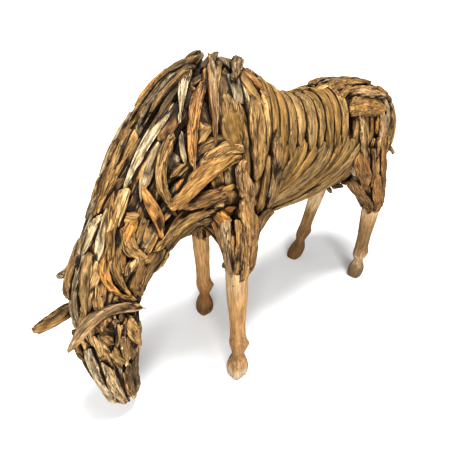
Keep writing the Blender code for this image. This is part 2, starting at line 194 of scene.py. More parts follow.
# %% Seams from the dock to the muzzle
ends = [max(flat_ends(STRETCHES[0]), key=lambda corners: corners[:, 0].mean())]
for node in STRETCHES:
    last = ends[-1].mean(axis=0)
    ends.append(max(flat_ends(node),
                    key=lambda corners: np.linalg.norm(corners.mean(axis=0) - last)))
centres = [corners.mean(axis=0)[[0, 2]] for corners in ends]
SEAMS = []
for k, corners in enumerate(ends):
    SEAMS.append(section_of(corners, centres[min(k + 1, 6)] - centres[max(k - 1, 0)]))
for k, (middle, rise, high, wide) in enumerate(SEAMS):
    print("seam", k, "middle", middle.round(3), "up", rise.round(2),
          "half size", round(high, 3), round(wide, 3))


# %% Section planes between the seams
def through(values, places):
    """Smooth curve through one value for each seam, read at the places."""
    values = np.asarray(values, float)
    first = np.clip(np.floor(places).astype(int), 0, len(values) - 2)
    t = (places - first).reshape(-1, *([1] * (values.ndim - 1)))
    a, b, c, d = (values[np.clip(first + k, 0, len(values) - 1)] for k in (-1, 0, 1, 2))
    return b + 0.5 * t * (c - a + t * (2 * a - 5 * b + 4 * c - d + t * (3 * (b - c) + d - a)))


def middle_and_way(places, degrees):
    """The section's middle and the direction out of it, for arrays of coordinates."""
    middle = through([s[0] for s in SEAMS], places)
    rise = unit(through([s[1] for s in SEAMS], places))
    high, wide = through([s[2] for s in SEAMS], places), through([s[3] for s in SEAMS], places)
    turn = np.radians(degrees)
    up = np.column_stack((rise[:, 0], np.zeros(len(rise)), rise[:, 1]))
    way = up * (high * np.cos(turn))[:, None] + TO_LEFT * (wide * np.sin(turn))[:, None]
    return np.column_stack((middle[:, 0], np.zeros(len(middle)), middle[:, 1])), unit(way)


half_way = middle_and_way(np.array([1.5]), np.array([0.0]))
print("middle of the barrel:", half_way[0].round(3), "its top line is towards", half_way[1].round(2))

# %% Chart of the surface
PER_STRETCH, TURNS = 30, 72            # section planes in a stretch, rays in a plane
REACH = 0.6                            # rays start this far out from the middle


def tree_of(*nodes):
    """One search tree for rays, over one or more CAD nodes."""
    work = merged(nodes[0])
    for node in nodes[1:]:
        work.from_mesh(NODES[node].data)
    tree = BVHTree.FromBMesh(work)
    work.free()
    return tree


def blend_rows(chart):
    """A chart softened along the body."""
    padded = np.pad(chart, ((1, 1), (0, 0)), mode="edge")
    return (padded[:-2] + 2 * padded[1:-1] + padded[2:]) / 4


trees = [tree_of(node) for node in STRETCHES]
chart = np.zeros((6 * PER_STRETCH + 1, TURNS))
for line in range(len(chart)):
    stretch = min(line // PER_STRETCH, 5)
    place = min(max(line / PER_STRETCH, stretch + 0.01), stretch + 0.99)
    middle, ways = middle_and_way(np.full(TURNS, place), np.arange(TURNS) * 360 / TURNS)
    for k in range(TURNS):
        hit = trees[stretch].ray_cast(Vector(middle[k] + ways[k] * REACH), Vector(-ways[k]), REACH)
        chart[line, k] = REACH - hit[3] if hit[0] else np.nan
print("rays that missed:", int(np.isnan(chart).sum()))
for line in range(1, len(chart)):
    gap = np.isnan(chart[line])
    chart[line, gap] = chart[line - 1, gap]
crowns = chart.copy()
for step in (-2, -1, 1, 2):            # the crowns of the ribs, not the grooves
    crowns = np.maximum(crowns, chart[np.clip(np.arange(len(chart)) + step, 0, len(chart) - 1)])
crowns = np.maximum(crowns, np.maximum(np.roll(chart, 1, 1), np.roll(chart, -1, 1)))
for _ in range(4):
    crowns = blend_rows(crowns)
    crowns = (np.roll(crowns, 1, 1) + 2 * crowns + np.roll(crowns, -1, 1)) / 4
print("half thickness of the body runs from", round(crowns.min(), 3), "to", round(crowns.max(), 3))


# %% Reading the chart
def read_chart(chart, rows, degrees):
    """A chart's value between its rows and columns."""
    rows = np.clip(rows, 0, chart.shape[0] - 1.001)
    column = (degrees / 360 * chart.shape[1]) % chart.shape[1]
    r, c = rows.astype(int), column.astype(int)
    fr, fc = rows - r, column - c
    after = (c + 1) % chart.shape[1]
    return ((chart[r, c] * (1 - fc) + chart[r, after] * fc) * (1 - fr)
            + (chart[r + 1, c] * (1 - fc) + chart[r + 1, after] * fc) * fr)


def skin(places, degrees):
    """Points of the body's surface for arrays of places and degrees."""
    places, degrees = np.broadcast_arrays(np.asarray(places, float), np.asarray(degrees, float))
    places = np.clip(places, *skin.span)
    middle, way = middle_and_way(places, degrees)
    return middle + way * read_chart(crowns, places * PER_STRETCH, degrees)[:, None]


skin.span = (0.0, 6.0)


def outward(surface, a, b, step=0.02):
    """Unit normals of a surface at its two coordinates, facing away from its middle."""
    a = np.clip(a, surface.span[0] + step, surface.span[1] - step)
    along = surface(a + step, b) - surface(a - step, b)
    round_ = surface(a, b + 2.0) - surface(a, b - 2.0)
    normal = unit(np.cross(along, round_))
    away = surface(a, b) - surface(a, b + 180.0)
    return normal * np.sign((normal * away).sum(axis=1))[:, None]


print("the withers stand at", skin([2.5], [0])[0].round(3))

# %% [markdown]
# ## One stick of driftwood
# A stick is a tube whose outline we control ring by ring. Python works out where its rings
# go: the middle of each ring, the way that points out of the body, and the half width and
# half thickness there. The sea wears a branch blunt at its thick end and thin at the other,
# so the widths rise quickly at the root and fall slowly to the tip. A short stick hardly
# bends, so its middles are pulled onto a smooth low curve instead of following every rib.

# %% Rings of a stick
RING_STEP = 0.015                      # metres between rings
ENDS = {                               # outlines, as (share of the length, share of the width)
    "oval": ((0, 0.15), (0.06, 0.52), (0.2, 0.84), (0.5, 1.0), (0.8, 0.84), (0.94, 0.5), (1, 0.12)),
    "leaf": ((0, 0.10), (0.12, 0.55), (0.35, 0.95), (0.6, 1.0), (0.85, 0.6), (1, 0.10)),
    "tapered": ((0, 0.50), (0.05, 0.82), (0.2, 1.0), (0.55, 0.95), (0.8, 0.62), (1, 0.12)),
    "plank": ((0, 0.55), (0.03, 0.88), (0.12, 1.0), (0.85, 0.95), (0.96, 0.8), (1, 0.45)),
    "rib": ((0, 0.60), (0.03, 0.9), (0.12, 1.0), (0.75, 0.95), (0.93, 0.6), (1, 0.15)),
}


def smooth_steps(count):
    """Shares of the length from 0 to 1 that crowd a little towards both ends."""
    even = np.linspace(0, 1, count)
    return 0.55 * even + 0.45 * (0.5 - 0.5 * np.cos(np.pi * even))


def curve_through(points, shares):
    """A smooth curve through two or more points given as rows, read at shares of its run."""
    points = np.asarray(points, float)
    if len(points) == 2:
        return points[0] + (points[1] - points[0]) * shares[:, None]
    return through(points, shares * (len(points) - 1))


def slanted(side, ahead, run, girth, seed):
    """The side directions leaned along the stick near both ends, which cuts the ends askew."""
    root, tip = math.sin(seed * 7.3) * 1.1, math.sin(seed * 11.9 + 1.0) * 1.3
    reach = max(0.03, 2.0 * girth.max())
    lean = (root * np.clip(1 - run / reach, 0, 1) ** 1.5
            + tip * np.clip(1 - (run[-1] - run) / reach, 0, 1) ** 1.5)
    return side + ahead * lean[:, None]


def stick(middles, ups, wide, thick, kind="tapered", wood=(0.5, 0.2, 0.2), seed=0.0, limp=3, tilt=0.0):
    """What the sweep needs to know about one stick, ring by ring; tilt turns it about its run."""
    shares = smooth_steps(len(middles))
    middles = np.column_stack([np.polyval(np.polyfit(shares, middles[:, k], limp), shares)
                               for k in range(3)])
    ahead = unit(np.gradient(middles, axis=0))
    side = unit(np.cross(ahead, ups))
    ups = np.cross(side, ahead)
    turn = math.radians(tilt)
    side, ups = (side * math.cos(turn) + ups * math.sin(turn),
                 ups * math.cos(turn) - side * math.sin(turn))
    run = np.concatenate(([0], np.cumsum(np.linalg.norm(np.diff(middles, axis=0), axis=1))))
    girth = np.interp(shares, *np.array(ENDS[kind]).T)
    return {"spot": middles, "side": slanted(side, ahead, run, wide / 2 * girth, seed), "up": ups,
            "run": run, "half_wide": wide / 2 * girth, "half_thick": thick / 2 * (0.35 + 0.65 * girth),
            "wood": np.tile(wood, (len(middles), 1)), "seed": np.full(len(middles), seed)}


def mirrored(s):
    """The same stick on the other side of the horse."""
    flip = np.array((1.0, -1.0, 1.0))
    return {**s, "spot": s["spot"] * flip, "up": s["up"] * flip, "side": -s["side"] * flip,
            "seed": s["seed"] + 3.3}


def laid(route, lift, wide, thick, kind="tapered", wood=(0.5, 0.2, 0.2), seed=0.0,
         surface=skin, tilt=0.0):
    """A stick laid over a surface along a route, with its top face lifted clear of it."""
    control = surface(np.array([a for a, _ in route]), np.array([b for _, b in route]))
    length = np.linalg.norm(np.diff(control, axis=0), axis=1).sum()
    shares = smooth_steps(max(9, int(length / RING_STEP)))
    way = curve_through(route, shares)
    lift = np.interp(shares, np.linspace(0, 1, np.size(lift)), np.atleast_1d(lift))
    ups = outward(surface, way[:, 0], way[:, 1])
    middles = surface(way[:, 0], way[:, 1]) + ups * (lift - thick / 2)[:, None]
    return stick(middles, ups, wide, thick, kind, wood, seed, tilt=tilt)


tried = laid([(1.2, 10), (1.6, 30)], 0.01, 0.05, 0.03)
print("a first stick has", len(tried["run"]), "rings and is", round(tried["run"][-1], 3), "m long")

# %% [markdown]
# ## Sweeping the sticks with Geometry Nodes
# Hundreds of sticks share one recipe, so a Geometry Nodes tree makes them all. Each stick goes
# in as a chain of edges whose points carry the values above as attributes. The tree turns the
# chains into curves, sweeps a ring along them, and then places every point itself: the ring's
# angle says where the point sits round the stick, noise moves the edges in and out, and finer
# noise cuts furrows along the grain. The tree also stores the coordinates along and across
# the grain, because the wood material has to follow each stick.

# %% A small helper for node trees
class Tree:
    """Adds and links nodes in a few words."""

    def __init__(self, tree):
        self.tree = tree

    def add(self, kind, *inputs, **settings):
        """A node of a kind with its settings, its inputs given in order (None skips one)."""
        named = settings.pop("named", {})
        node = self.tree.nodes.new(kind)
        for key, value in settings.items():
            setattr(node, key, value)
        for key, value in list(enumerate(inputs)) + list(named.items()):
            if value is not None:
                self.give(node.inputs[key], value)
        return node

    def give(self, socket, value):
        """Links a node or an output to an input, or writes a plain value there."""
        if isinstance(value, bpy.types.Node):
            value = next(out for out in value.outputs if out.enabled)
        if isinstance(value, bpy.types.NodeSocket):
            self.tree.links.new(value, socket)
        else:
            socket.default_value = value

    def math(self, operation, *inputs):
        """One step of arithmetic on numbers."""
        return self.add("ShaderNodeMath", *inputs, operation=operation)

    def times(self, a, b):
        """The product of two numbers."""
        return self.math("MULTIPLY", a, b)

    def minus(self, a, b):
        """The first number less the second."""
        return self.math("SUBTRACT", a, b)

    def line(self, value, slope, start):
        """The value times a slope, plus a start."""
        return self.math("MULTIPLY_ADD", value, slope, start)

    def vector(self, operation, *inputs):
        """One step of arithmetic on rows of three."""
        return self.add("ShaderNodeVectorMath", *inputs, operation=operation)


# %% The tree that sweeps driftwood
def build_sweep():
    """The node tree that turns chains of edges into sticks."""
    tree = bpy.data.node_groups.new("driftwood sweep", "GeometryNodeTree")
    face = tree.interface
    face.new_socket("Geometry", in_out="INPUT", socket_type="NodeSocketGeometry")
    sizes = (("Sides", "NodeSocketInt", 18), ("Edge wander", "NodeSocketFloat", 0.3),
             ("Gnarl", "NodeSocketFloat", 0.008), ("Furrow", "NodeSocketFloat", 0.005),
             ("Seed", "NodeSocketFloat", 7.0))
    for name, kind, value in sizes:
        face.new_socket(name, in_out="INPUT", socket_type=kind).default_value = value
    face.new_socket("Wood", in_out="INPUT", socket_type="NodeSocketMaterial")
    face.new_socket("Geometry", in_out="OUTPUT", socket_type="NodeSocketGeometry")
    t = Tree(tree)
    start, end = t.add("NodeGroupInput"), t.add("NodeGroupOutput")

    def read(name, kind="FLOAT"):
        """A value that the chains carry."""
        node = t.add("GeometryNodeInputNamedAttribute", name, data_type=kind)
        return node.outputs["Attribute"]

    def store(geometry, name, value, kind="FLOAT"):
        """The geometry with one more named value on its points."""
        node = t.add("GeometryNodeStoreNamedAttribute", geometry, data_type=kind, domain="POINT",
                     named={"Name": name})
        t.give(node.inputs["Value"], value)
        return node.outputs[0]

    # a ring whose points know their angle, swept along every chain
    ring = t.add("GeometryNodeCurvePrimitiveCircle", start.outputs["Sides"]).outputs[0]
    factor = t.add("GeometryNodeSplineParameter").outputs["Factor"]
    ring = store(ring, "turn", t.times(factor, 2 * math.pi))
    chains = t.add("GeometryNodeMeshToCurve", start.outputs["Geometry"]).outputs[0]
    swept = t.add("GeometryNodeCurveToMesh", chains, ring, named={"Fill Caps": True}).outputs[0]
    swept = t.add("GeometryNodeFlipFaces", swept).outputs[0]

    # where a point sits round its stick: a circle pressed towards a plank
    turn, seed, run = read("turn"), read("seed"), read("run")

    def pressed(wave, power):
        """A sine or cosine of the turn, pushed out towards -1 and 1."""
        value = t.math(wave, turn)
        return t.times(t.math("SIGN", value), t.math("POWER", t.math("ABSOLUTE", value), power))

    across, deep = pressed("COSINE", 0.55), pressed("SINE", 0.5)

    def noise(x, y, z, detail=2.0):
        """Noise read at three coordinates, from -1 to 1."""
        spot = t.add("ShaderNodeCombineXYZ", x, y, z)
        made = t.add("ShaderNodeTexNoise", named={"Vector": spot, "Scale": 1.0, "Detail": detail})
        return t.line(made.outputs[0], 2.0, -1.0)

    salt = t.line(seed, 13.7, start.outputs["Seed"])
    wander = noise(t.line(run, 13.0, salt), t.times(across, 0.9), salt)
    wider = t.line(wander, start.outputs["Edge wander"], 1.0)
    x = t.times(t.times(read("half_wide"), wider), across)
    z = t.times(read("half_thick"), deep)
    spot = t.vector("ADD", t.vector("SCALE", read("side", "FLOAT_VECTOR"), None, None, x),
                    t.vector("SCALE", read("up", "FLOAT_VECTOR"), None, None, z))
    spot = t.vector("ADD", spot, read("spot", "FLOAT_VECTOR"))
    placed = t.add("GeometryNodeSetPosition", swept, None, spot).outputs[0]
    placed = store(placed, "x", x)
    placed = store(placed, "z", z)

    # lumps, and furrows that run along the grain
    x, z = read("x"), read("z")

    def along_grain(along, across, detail=2.0):
        """Noise with its own scale along the stick and across it."""
        return noise(t.line(run, along, salt), t.times(x, across), t.times(z, across), detail)

    lump = along_grain(16.0, 34.0)       # waves per metre, along and across
    fold = along_grain(5.0, 95.0, 1.0)
    fold = t.math("MINIMUM", t.times(t.math("ABSOLUTE", fold), 4.0), 1.0)
    crease = t.math("POWER", t.minus(1.0, fold), 2.0)
    shift = t.minus(t.times(lump, start.outputs["Gnarl"]), t.times(crease, start.outputs["Furrow"]))
    normal = t.add("GeometryNodeInputNormal").outputs[0]
    offset = t.vector("SCALE", normal, None, None, shift)
    carved = t.add("GeometryNodeSetPosition", placed, None, None, offset).outputs[0]

    # what the material reads
    grain = t.add("ShaderNodeCombineXYZ", t.line(seed, 3.1, run), x, z)
    carved = store(carved, "grain", grain, "FLOAT_VECTOR")
    carved = store(carved, "crease", crease)
    smooth = t.add("GeometryNodeSetShadeSmooth", carved).outputs[0]
    real = t.add("GeometryNodeRealizeInstances", smooth).outputs[0]
    dressed = t.add("GeometryNodeSetMaterial", real, None, start.outputs["Wood"]).outputs[0]
    t.give(end.inputs["Geometry"], dressed)
    return tree


SWEEP = build_sweep()
print("sweep tree nodes:", len(SWEEP.nodes))
SCRATCH = ("turn", "side", "up", "spot", "half_wide", "half_thick", "x", "z", "run")
PIECES, ALL_STICKS = [], []


def triangles(piece):
    """How many triangles a piece has."""
    piece.data.calc_loop_triangles()
    return len(piece.data.loop_triangles)


def sweep(name, sticks, material, sides=18, **sizes):
    """A plain mesh object with all the sticks, made by the tree."""
    chain = bpy.data.meshes.new(name)
    points = np.vstack([s["spot"] for s in sticks])
    links, first = [], 0
    for s in sticks:
        links += [(k, k + 1) for k in range(first, first + len(s["spot"]) - 1)]
        first += len(s["spot"])
    chain.from_pydata(points.tolist(), links, [])
    for key in ("spot", "side", "up", "wood", "run", "half_wide", "half_thick", "seed"):
        write(chain, key, np.concatenate([s[key] for s in sticks]))
    rough = put(name + "_chains", chain)
    modifier = rough.modifiers.new("sweep", "NODES")
    modifier.node_group = SWEEP
    socket = {item.name: item.identifier for item in SWEEP.interface.items_tree
              if item.in_out == "INPUT"}
    modifier[socket["Sides"]] = sides
    modifier[socket["Wood"]] = material
    for key, value in sizes.items():
        modifier[socket[key.replace("_", " ")]] = value
    swept = rough.evaluated_get(bpy.context.evaluated_depsgraph_get())
    mesh = bpy.data.meshes.new_from_object(swept)
    bpy.data.objects.remove(rough, do_unlink=True)
    bpy.data.meshes.remove(chain)
    for key in SCRATCH:
        if key in mesh.attributes:
            mesh.attributes.remove(mesh.attributes[key])
    mesh.name = name
    return put(name, mesh)


# %% [markdown]
# ## Wood that has been in the sea
# All the sticks share one finish, so it is one shader group that each wood uses with its own
# colours. It reads the grain coordinates that the sweep stored, stretched so that noise
# becomes streaks along the stick. On top come splits, worm holes, a paler grey on upward faces
# that is partly silvering and partly painted top light, and painted shade in the furrows and between
# sticks.

# %% The group "weathered grain"
def build_grain():
    """The shader group that gives a wood its colour, roughness and height."""
    tree = bpy.data.node_groups.new("weathered grain", "ShaderNodeTree")
    face = tree.interface
    colours = (("Wood", (0.26, 0.158, 0.055)), ("Dark streak", (0.10, 0.056, 0.020)),
               ("Pale streak", (0.42, 0.29, 0.13)), ("Silver", (0.36, 0.30, 0.20)),
               ("Warm", (0.36, 0.18, 0.05)))
    for name, colour in colours:
        socket = face.new_socket(name, in_out="INPUT", socket_type="NodeSocketColor")
        socket.default_value = (*colour, 1)
    sizes = (("Streaks along", 13.0), ("Streaks across", 110.0), ("Splits", 1.0), ("Worm holes", 0.5),
             ("Silvering", 0.08), ("Contrast", 1.0), ("Gap shade", 0.9), ("Creases", 0.75))
    for name, value in sizes:
        face.new_socket(name, in_out="INPUT", socket_type="NodeSocketFloat").default_value = value
    for name, kind in (("Colour", "NodeSocketColor"), ("Roughness", "NodeSocketFloat"),
                       ("Height", "NodeSocketFloat")):
        face.new_socket(name, in_out="OUTPUT", socket_type=kind)
    t = Tree(tree)
    start, end = t.add("NodeGroupInput"), t.add("NodeGroupOutput")
    take = start.outputs

    def attribute(name, output="Vector"):
        """What the sweep stored under a name."""
        return t.add("ShaderNodeAttribute", attribute_name=name).outputs[output]

    def mix(amount, a, b, blend="MIX"):
        """Colour a turned towards b, or blended with it, by an amount."""
        node = t.add("ShaderNodeMix", data_type="RGBA", blend_type=blend)
        for key, value in (("Factor", amount), ("A", a), ("B", b)):
            socket = next(s for s in node.inputs if s.name == key and s.enabled)
            if isinstance(value, tuple):
                value = (*value, 1)
            t.give(socket, value)
        return next(out for out in node.outputs if out.enabled)

    def band(value, low, high):
        """0 below the low value, 1 above the high one, and a soft step between."""
        node = t.add("ShaderNodeMapRange", value, low, high, 0.0, 1.0, interpolation_type="SMOOTHSTEP")
        return node.outputs[0]

    grain = attribute("grain")
    stretch = t.add("ShaderNodeCombineXYZ", take["Streaks along"], take["Streaks across"],
                    take["Streaks across"])
    streak_spot = t.vector("MULTIPLY", grain, stretch)

    def noise(scale, detail=4.0, rough=0.55, spot=streak_spot):
        """Noise in the stretched grain coordinates, from 0 to 1."""
        made = t.add("ShaderNodeTexNoise", named={"Vector": spot, "Scale": scale, "Detail": detail,
                                                  "Roughness": rough})
        return made.outputs[0]

    def worn(amount, value, low, high, dark, pale):
        """The colour so far, darkened where the value is low and lightened where it is high."""
        return mix(amount, colour, mix(1.0, colour, mix(band(value, low, high), dark, pale), "MULTIPLY"))

    # brown, dark and pale streaks, a warm tinge, and a paler grey on upward faces, partly silvering and
    # partly painted top light
    streak, broad, fibre = noise(1.0, 5.0), noise(0.22, 3.0), noise(2.4, 4.0, 0.7)
    light, silver, warm = t.add("ShaderNodeSeparateXYZ", attribute("wood")).outputs
    brown = t.line(band(streak, 0.32, 0.56), 0.55, 0.45)
    colour = mix(brown, take["Dark streak"], take["Wood"])
    pale = t.line(broad, 0.7, t.times(streak, 0.3))
    pale = t.times(band(pale, 0.47, 0.68), 0.55)
    colour = mix(pale, colour, take["Pale streak"])
    colour = mix(t.times(warm, band(broad, 0.25, 0.6)), colour, take["Warm"])
    # painted top light: faces that point up turn paler grey, together with the silvering of the wood
    up = t.add("ShaderNodeSeparateXYZ", t.add("ShaderNodeNewGeometry").outputs["Normal"]).outputs["Z"]
    top_light_and_silvering = t.times(band(up, -0.1, 0.9), take["Silvering"])
    top_light_and_silvering = t.times(top_light_and_silvering, band(streak, 0.3, 0.6))
    greyed = t.math("MAXIMUM", top_light_and_silvering, t.times(silver, band(streak, 0.2, 0.55)))
    colour = mix(greyed, colour, take["Silver"])

    # fine fibres, patches and flecks, then the stick's own lightness
    strong = t.times(take["Contrast"], 0.75)
    patch = noise(1.0, 5.0, 0.6, t.vector("MULTIPLY", grain, (16.0, 45.0, 45.0)))
    fleck = noise(1.0, 3.0, 0.7, t.vector("MULTIPLY", grain, (40.0, 190.0, 190.0)))
    colour = worn(strong, fibre, 0.36, 0.64, (0.35, 0.32, 0.3), (1.5, 1.5, 1.5))
    colour = worn(take["Contrast"], patch, 0.3, 0.7, (0.72, 0.68, 0.62), (1.1, 1.1, 1.08))
    colour = worn(take["Contrast"], fleck, 0.34, 0.66, (0.72, 0.7, 0.68), (1.15, 1.16, 1.17))
    dimmed = t.line(light, 1.1, 0.35)
    shade = t.add("ShaderNodeCombineXYZ", dimmed, dimmed, dimmed)
    colour = mix(1.0, colour, shade, "MULTIPLY")

    # splits and worm holes nearly black, and painted shade, nearly black, in the bottoms of the furrows
    crack = t.math("ABSOLUTE", t.minus(noise(0.75, 2.0), 0.5))
    where = band(noise(0.12, 1.0), 0.44, 0.54)
    split = t.times(t.minus(1.0, band(crack, 0.008, 0.03)), t.times(where, take["Splits"]))
    cells = t.add("ShaderNodeTexVoronoi", named={"Vector": grain, "Scale": 55.0, "Randomness": 1.0})
    chosen = t.add("ShaderNodeSeparateXYZ", cells.outputs["Color"]).outputs[0]
    bored = t.math("LESS_THAN", chosen, t.times(take["Worm holes"], 0.25))
    hole = t.times(t.minus(1.0, band(cells.outputs["Distance"], 0.14, 0.24)), bored)
    crease, shut = attribute("crease", "Fac"), attribute("shut", "Fac")
    pits_and_shaded_furrows = t.math("MAXIMUM", t.math("MAXIMUM", split, hole), t.times(crease, take["Creases"]))
    # the near-black colour is painted shade where it falls in the furrows
    colour = mix(t.times(pits_and_shaded_furrows, 0.9), colour, (0.022, 0.012, 0.006))

    # painted shade in the gaps between sticks, where little light gets in
    buried = band(t.line(fibre, 0.1, shut), 0.45, 0.71)
    # painted shade: the colour is darkened nearly to black where a point faces much wood
    gap = mix(1.0, colour, (0.05, 0.035, 0.025), "MULTIPLY")
    colour = mix(t.times(buried, take["Gap shade"]), colour, gap)
    t.give(end.inputs["Colour"], colour)
    t.give(end.inputs["Roughness"], t.line(streak, -0.2, 0.85))
    height = t.line(streak, 0.55, t.times(fibre, 0.25))
    t.give(end.inputs["Height"], t.minus(t.line(fleck, 0.2, height), pits_and_shaded_furrows))
    return tree


GRAIN = build_grain()
print("grain group nodes:", len(GRAIN.nodes))


# %% The woods
def driftwood(name, **values):
    """A material with the weathered grain, its inputs changed by name."""
    material = bpy.data.materials.new(name)
    material.use_nodes = True
    t = Tree(material.node_tree)
    shader = material.node_tree.nodes["Principled BSDF"]
    group = t.add("ShaderNodeGroup", node_tree=GRAIN)
    for key, value in values.items():
        value = (*value, 1) if isinstance(value, tuple) else value
        group.inputs[key.replace("_", " ")].default_value = value
    t.give(shader.inputs["Base Color"], group.outputs["Colour"])
    t.give(shader.inputs["Roughness"], group.outputs["Roughness"])
    bump = t.add("ShaderNodeBump", named={"Height": group.outputs["Height"], "Strength": 0.8,
                                          "Distance": 0.005})
    t.give(shader.inputs["Normal"], bump)
    shader.inputs["Specular IOR Level"].default_value = 0.25
    return material


WOODS = {
    "tan_driftwood": driftwood("tan driftwood"),
    "smooth_tan": driftwood("tan driftwood of the ribs", Wood=(0.215, 0.13, 0.036),
                            Pale_streak=(0.355, 0.24, 0.088), Contrast=0.6, Worm_holes=0.3),
    "brown_driftwood": driftwood("brown driftwood", Wood=(0.25, 0.145, 0.055),
                                 Pale_streak=(0.42, 0.28, 0.13)),
    "grey_driftwood": driftwood("grey driftwood", Wood=(0.34, 0.26, 0.16),
                                Pale_streak=(0.52, 0.45, 0.33), Silvering=0.5),
    "orange_driftwood": driftwood("orange driftwood", Wood=(0.36, 0.195, 0.068),
                                  Pale_streak=(0.52, 0.325, 0.13), Silvering=0.1),
    "carved_wood": driftwood("carved wood", Wood=(0.365, 0.23, 0.105), Dark_streak=(0.29, 0.17, 0.07),
                             Pale_streak=(0.46, 0.32, 0.17), Warm=(0.36, 0.18, 0.07),
                             Silver=(0.60, 0.50, 0.38), Streaks_along=5.0, Streaks_across=70.0,
                             Silvering=0.0, Splits=0.4, Contrast=0.5, Worm_holes=0.2, Creases=0.25),
}
for wood in WOODS.values():
    print("material", wood.name)

# %% [markdown]
# ## Covering a stretch of the body
# Most of the surface is sticks side by side. A helper lays such a row: it measures how far it
# is across the row on the body, works out how many sticks fit, and lays each strip as one
# stick or as several that overlap end to end. A stick's route, its lift and its wood vary a
# little, from one seeded generator, so that no two are alike and every run is the same.

# %% Rows of sticks
dice = random.Random(11)
spread = dice.uniform
THICK = 0.034                          # metres, the usual thickness of a stick


def any_wood(light=0.5, silver=0.12, warm=0.2, vary=0.16):
    """Lightness, greyness and warmth of one stick, around a region's own mix."""
    return (min(1.0, max(0.0, dice.gauss(light, vary))),
            spread(0.6, 1.0) if dice.random() < silver else spread(0.0, 0.25),
            spread(0.5, 0.9) if dice.random() < warm else spread(0.0, 0.2))


def between(ends, share):
    """The value at a share of the way from one end to the other."""
    return ends[0] + (ends[1] - ends[0]) * share


def row(places, degrees, along, wide, kinds, long=None, lift=-0.006, jitter=0.12, woods=None,
        surface=skin):
    """Sticks side by side over places x degrees; along is the coordinate that they run in."""
    fine = np.linspace(0, 1, 40)

    def length(a, b):
        """Metres over the surface between two places and two turns."""
        line = surface(between(a, fine), between(b, fine))
        return np.linalg.norm(np.diff(line, axis=0), axis=1).sum()

    over_places = length(places, (sum(degrees) / 2,) * 2)
    over_turn = length((sum(places) / 2,) * 2, degrees)
    run, across = (over_places, over_turn) if along == "places" else (over_turn, over_places)
    count = max(1, round(across / wide))
    sticks = []
    for k in range(count):
        share = (k + 0.5) / count
        spot = -spread(0.0, 0.6) * (long / run) if long else 0.0
        while spot < 0.98:
            size = (long / run) * spread(0.75, 1.3) if long else 1.0
            a, b = max(spot, -0.05), min(spot + size, 1.05)
            slip = [share + spread(-jitter, jitter) / count for _ in range(3)]
            steps = zip((a, (a + b) / 2, b), slip)
            if along == "places":
                route = [(between(places, step), between(degrees, over)) for step, over in steps]
            else:
                route = [(between(places, over), between(degrees, step)) for step, over in steps]
            sticks.append(laid(route, lift + spread(-0.003, 0.004), wide * spread(0.85, 1.05), THICK,
                               dice.choice(kinds), any_wood(**(woods or {})), spread(0, 50),
                               surface, tilt=7 * math.sin(9 * spot + k)))
            spot += size * spread(0.8, 0.95)
    return sticks


# %% [markdown]
# ## The dark layer underneath
# Between the outer sticks one sees the wood further in, in deep shade. The CAD's own stretches,
# drawn in by two centimetres, stand for that inner layer: they keep light from passing through
# the horse, their dark brown tone is painted shade, and since they lie deep, no single stick of
# them has to be made.

# %% The layer underneath
def tell_frame(made, slot, *nodes):
    """Puts a piece under the root body, hides the CAD nodes it stands for and keeps it with the pieces;
    the slot is not used.
    """
    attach(made, "root")
    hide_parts(*nodes)
    PIECES.append(made)


def lower_layer(node, depth=0.022, wood=(0.3, 0.0, 0.1)):
    """The CAD stretch drawn in, as the wood that shows in the gaps, its dark tone painted shade."""
    work = merged(node)
    work.normal_update()
    for vertex in work.verts:
        vertex.co -= vertex.normal * depth
    mesh = bpy.data.meshes.new(node + "_underneath")
    work.to_mesh(mesh)
    work.free()
    count = len(mesh.vertices)
    write(mesh, "grain", [vertex.co for vertex in mesh.vertices])
    # the low lightness of this wood is painted shade for the deep gaps
    write(mesh, "wood", np.tile(wood, (count, 1)))
    write(mesh, "crease", np.zeros(count))
    mesh.materials.append(WOODS["brown_driftwood"])
    tell_frame(put(mesh.name, mesh), "brown_driftwood", node)


for node in STRETCHES:
    lower_layer(node)
print("stretches drawn in:", len(PIECES))


# %% Sweeping a piece for the frame
def finish_piece(name, sticks, slot, *nodes, wood=None, sides=18, **sizes):
    """Sweeps the sticks of one piece, puts it under the root body and hides the CAD nodes it stands for.
    """
    made = sweep(name, sticks, WOODS[wood or slot], sides, **sizes)
    tell_frame(made, slot, *nodes)
    ALL_STICKS.extend(sticks)
    print(name, "sticks:", len(sticks), "triangles:", triangles(made))


# %% [markdown]
# ## Ribs and rows on the body
# The barrel of the real horse reads as a rib cage: ten broad bowed planks on each side, and
# under them slats that run forward and down to the belly. Two short tables give their places.
# Rump, shoulder, neck and head are filled with rows of smaller sticks, and the sticks laid one by
# one will cover part of them.

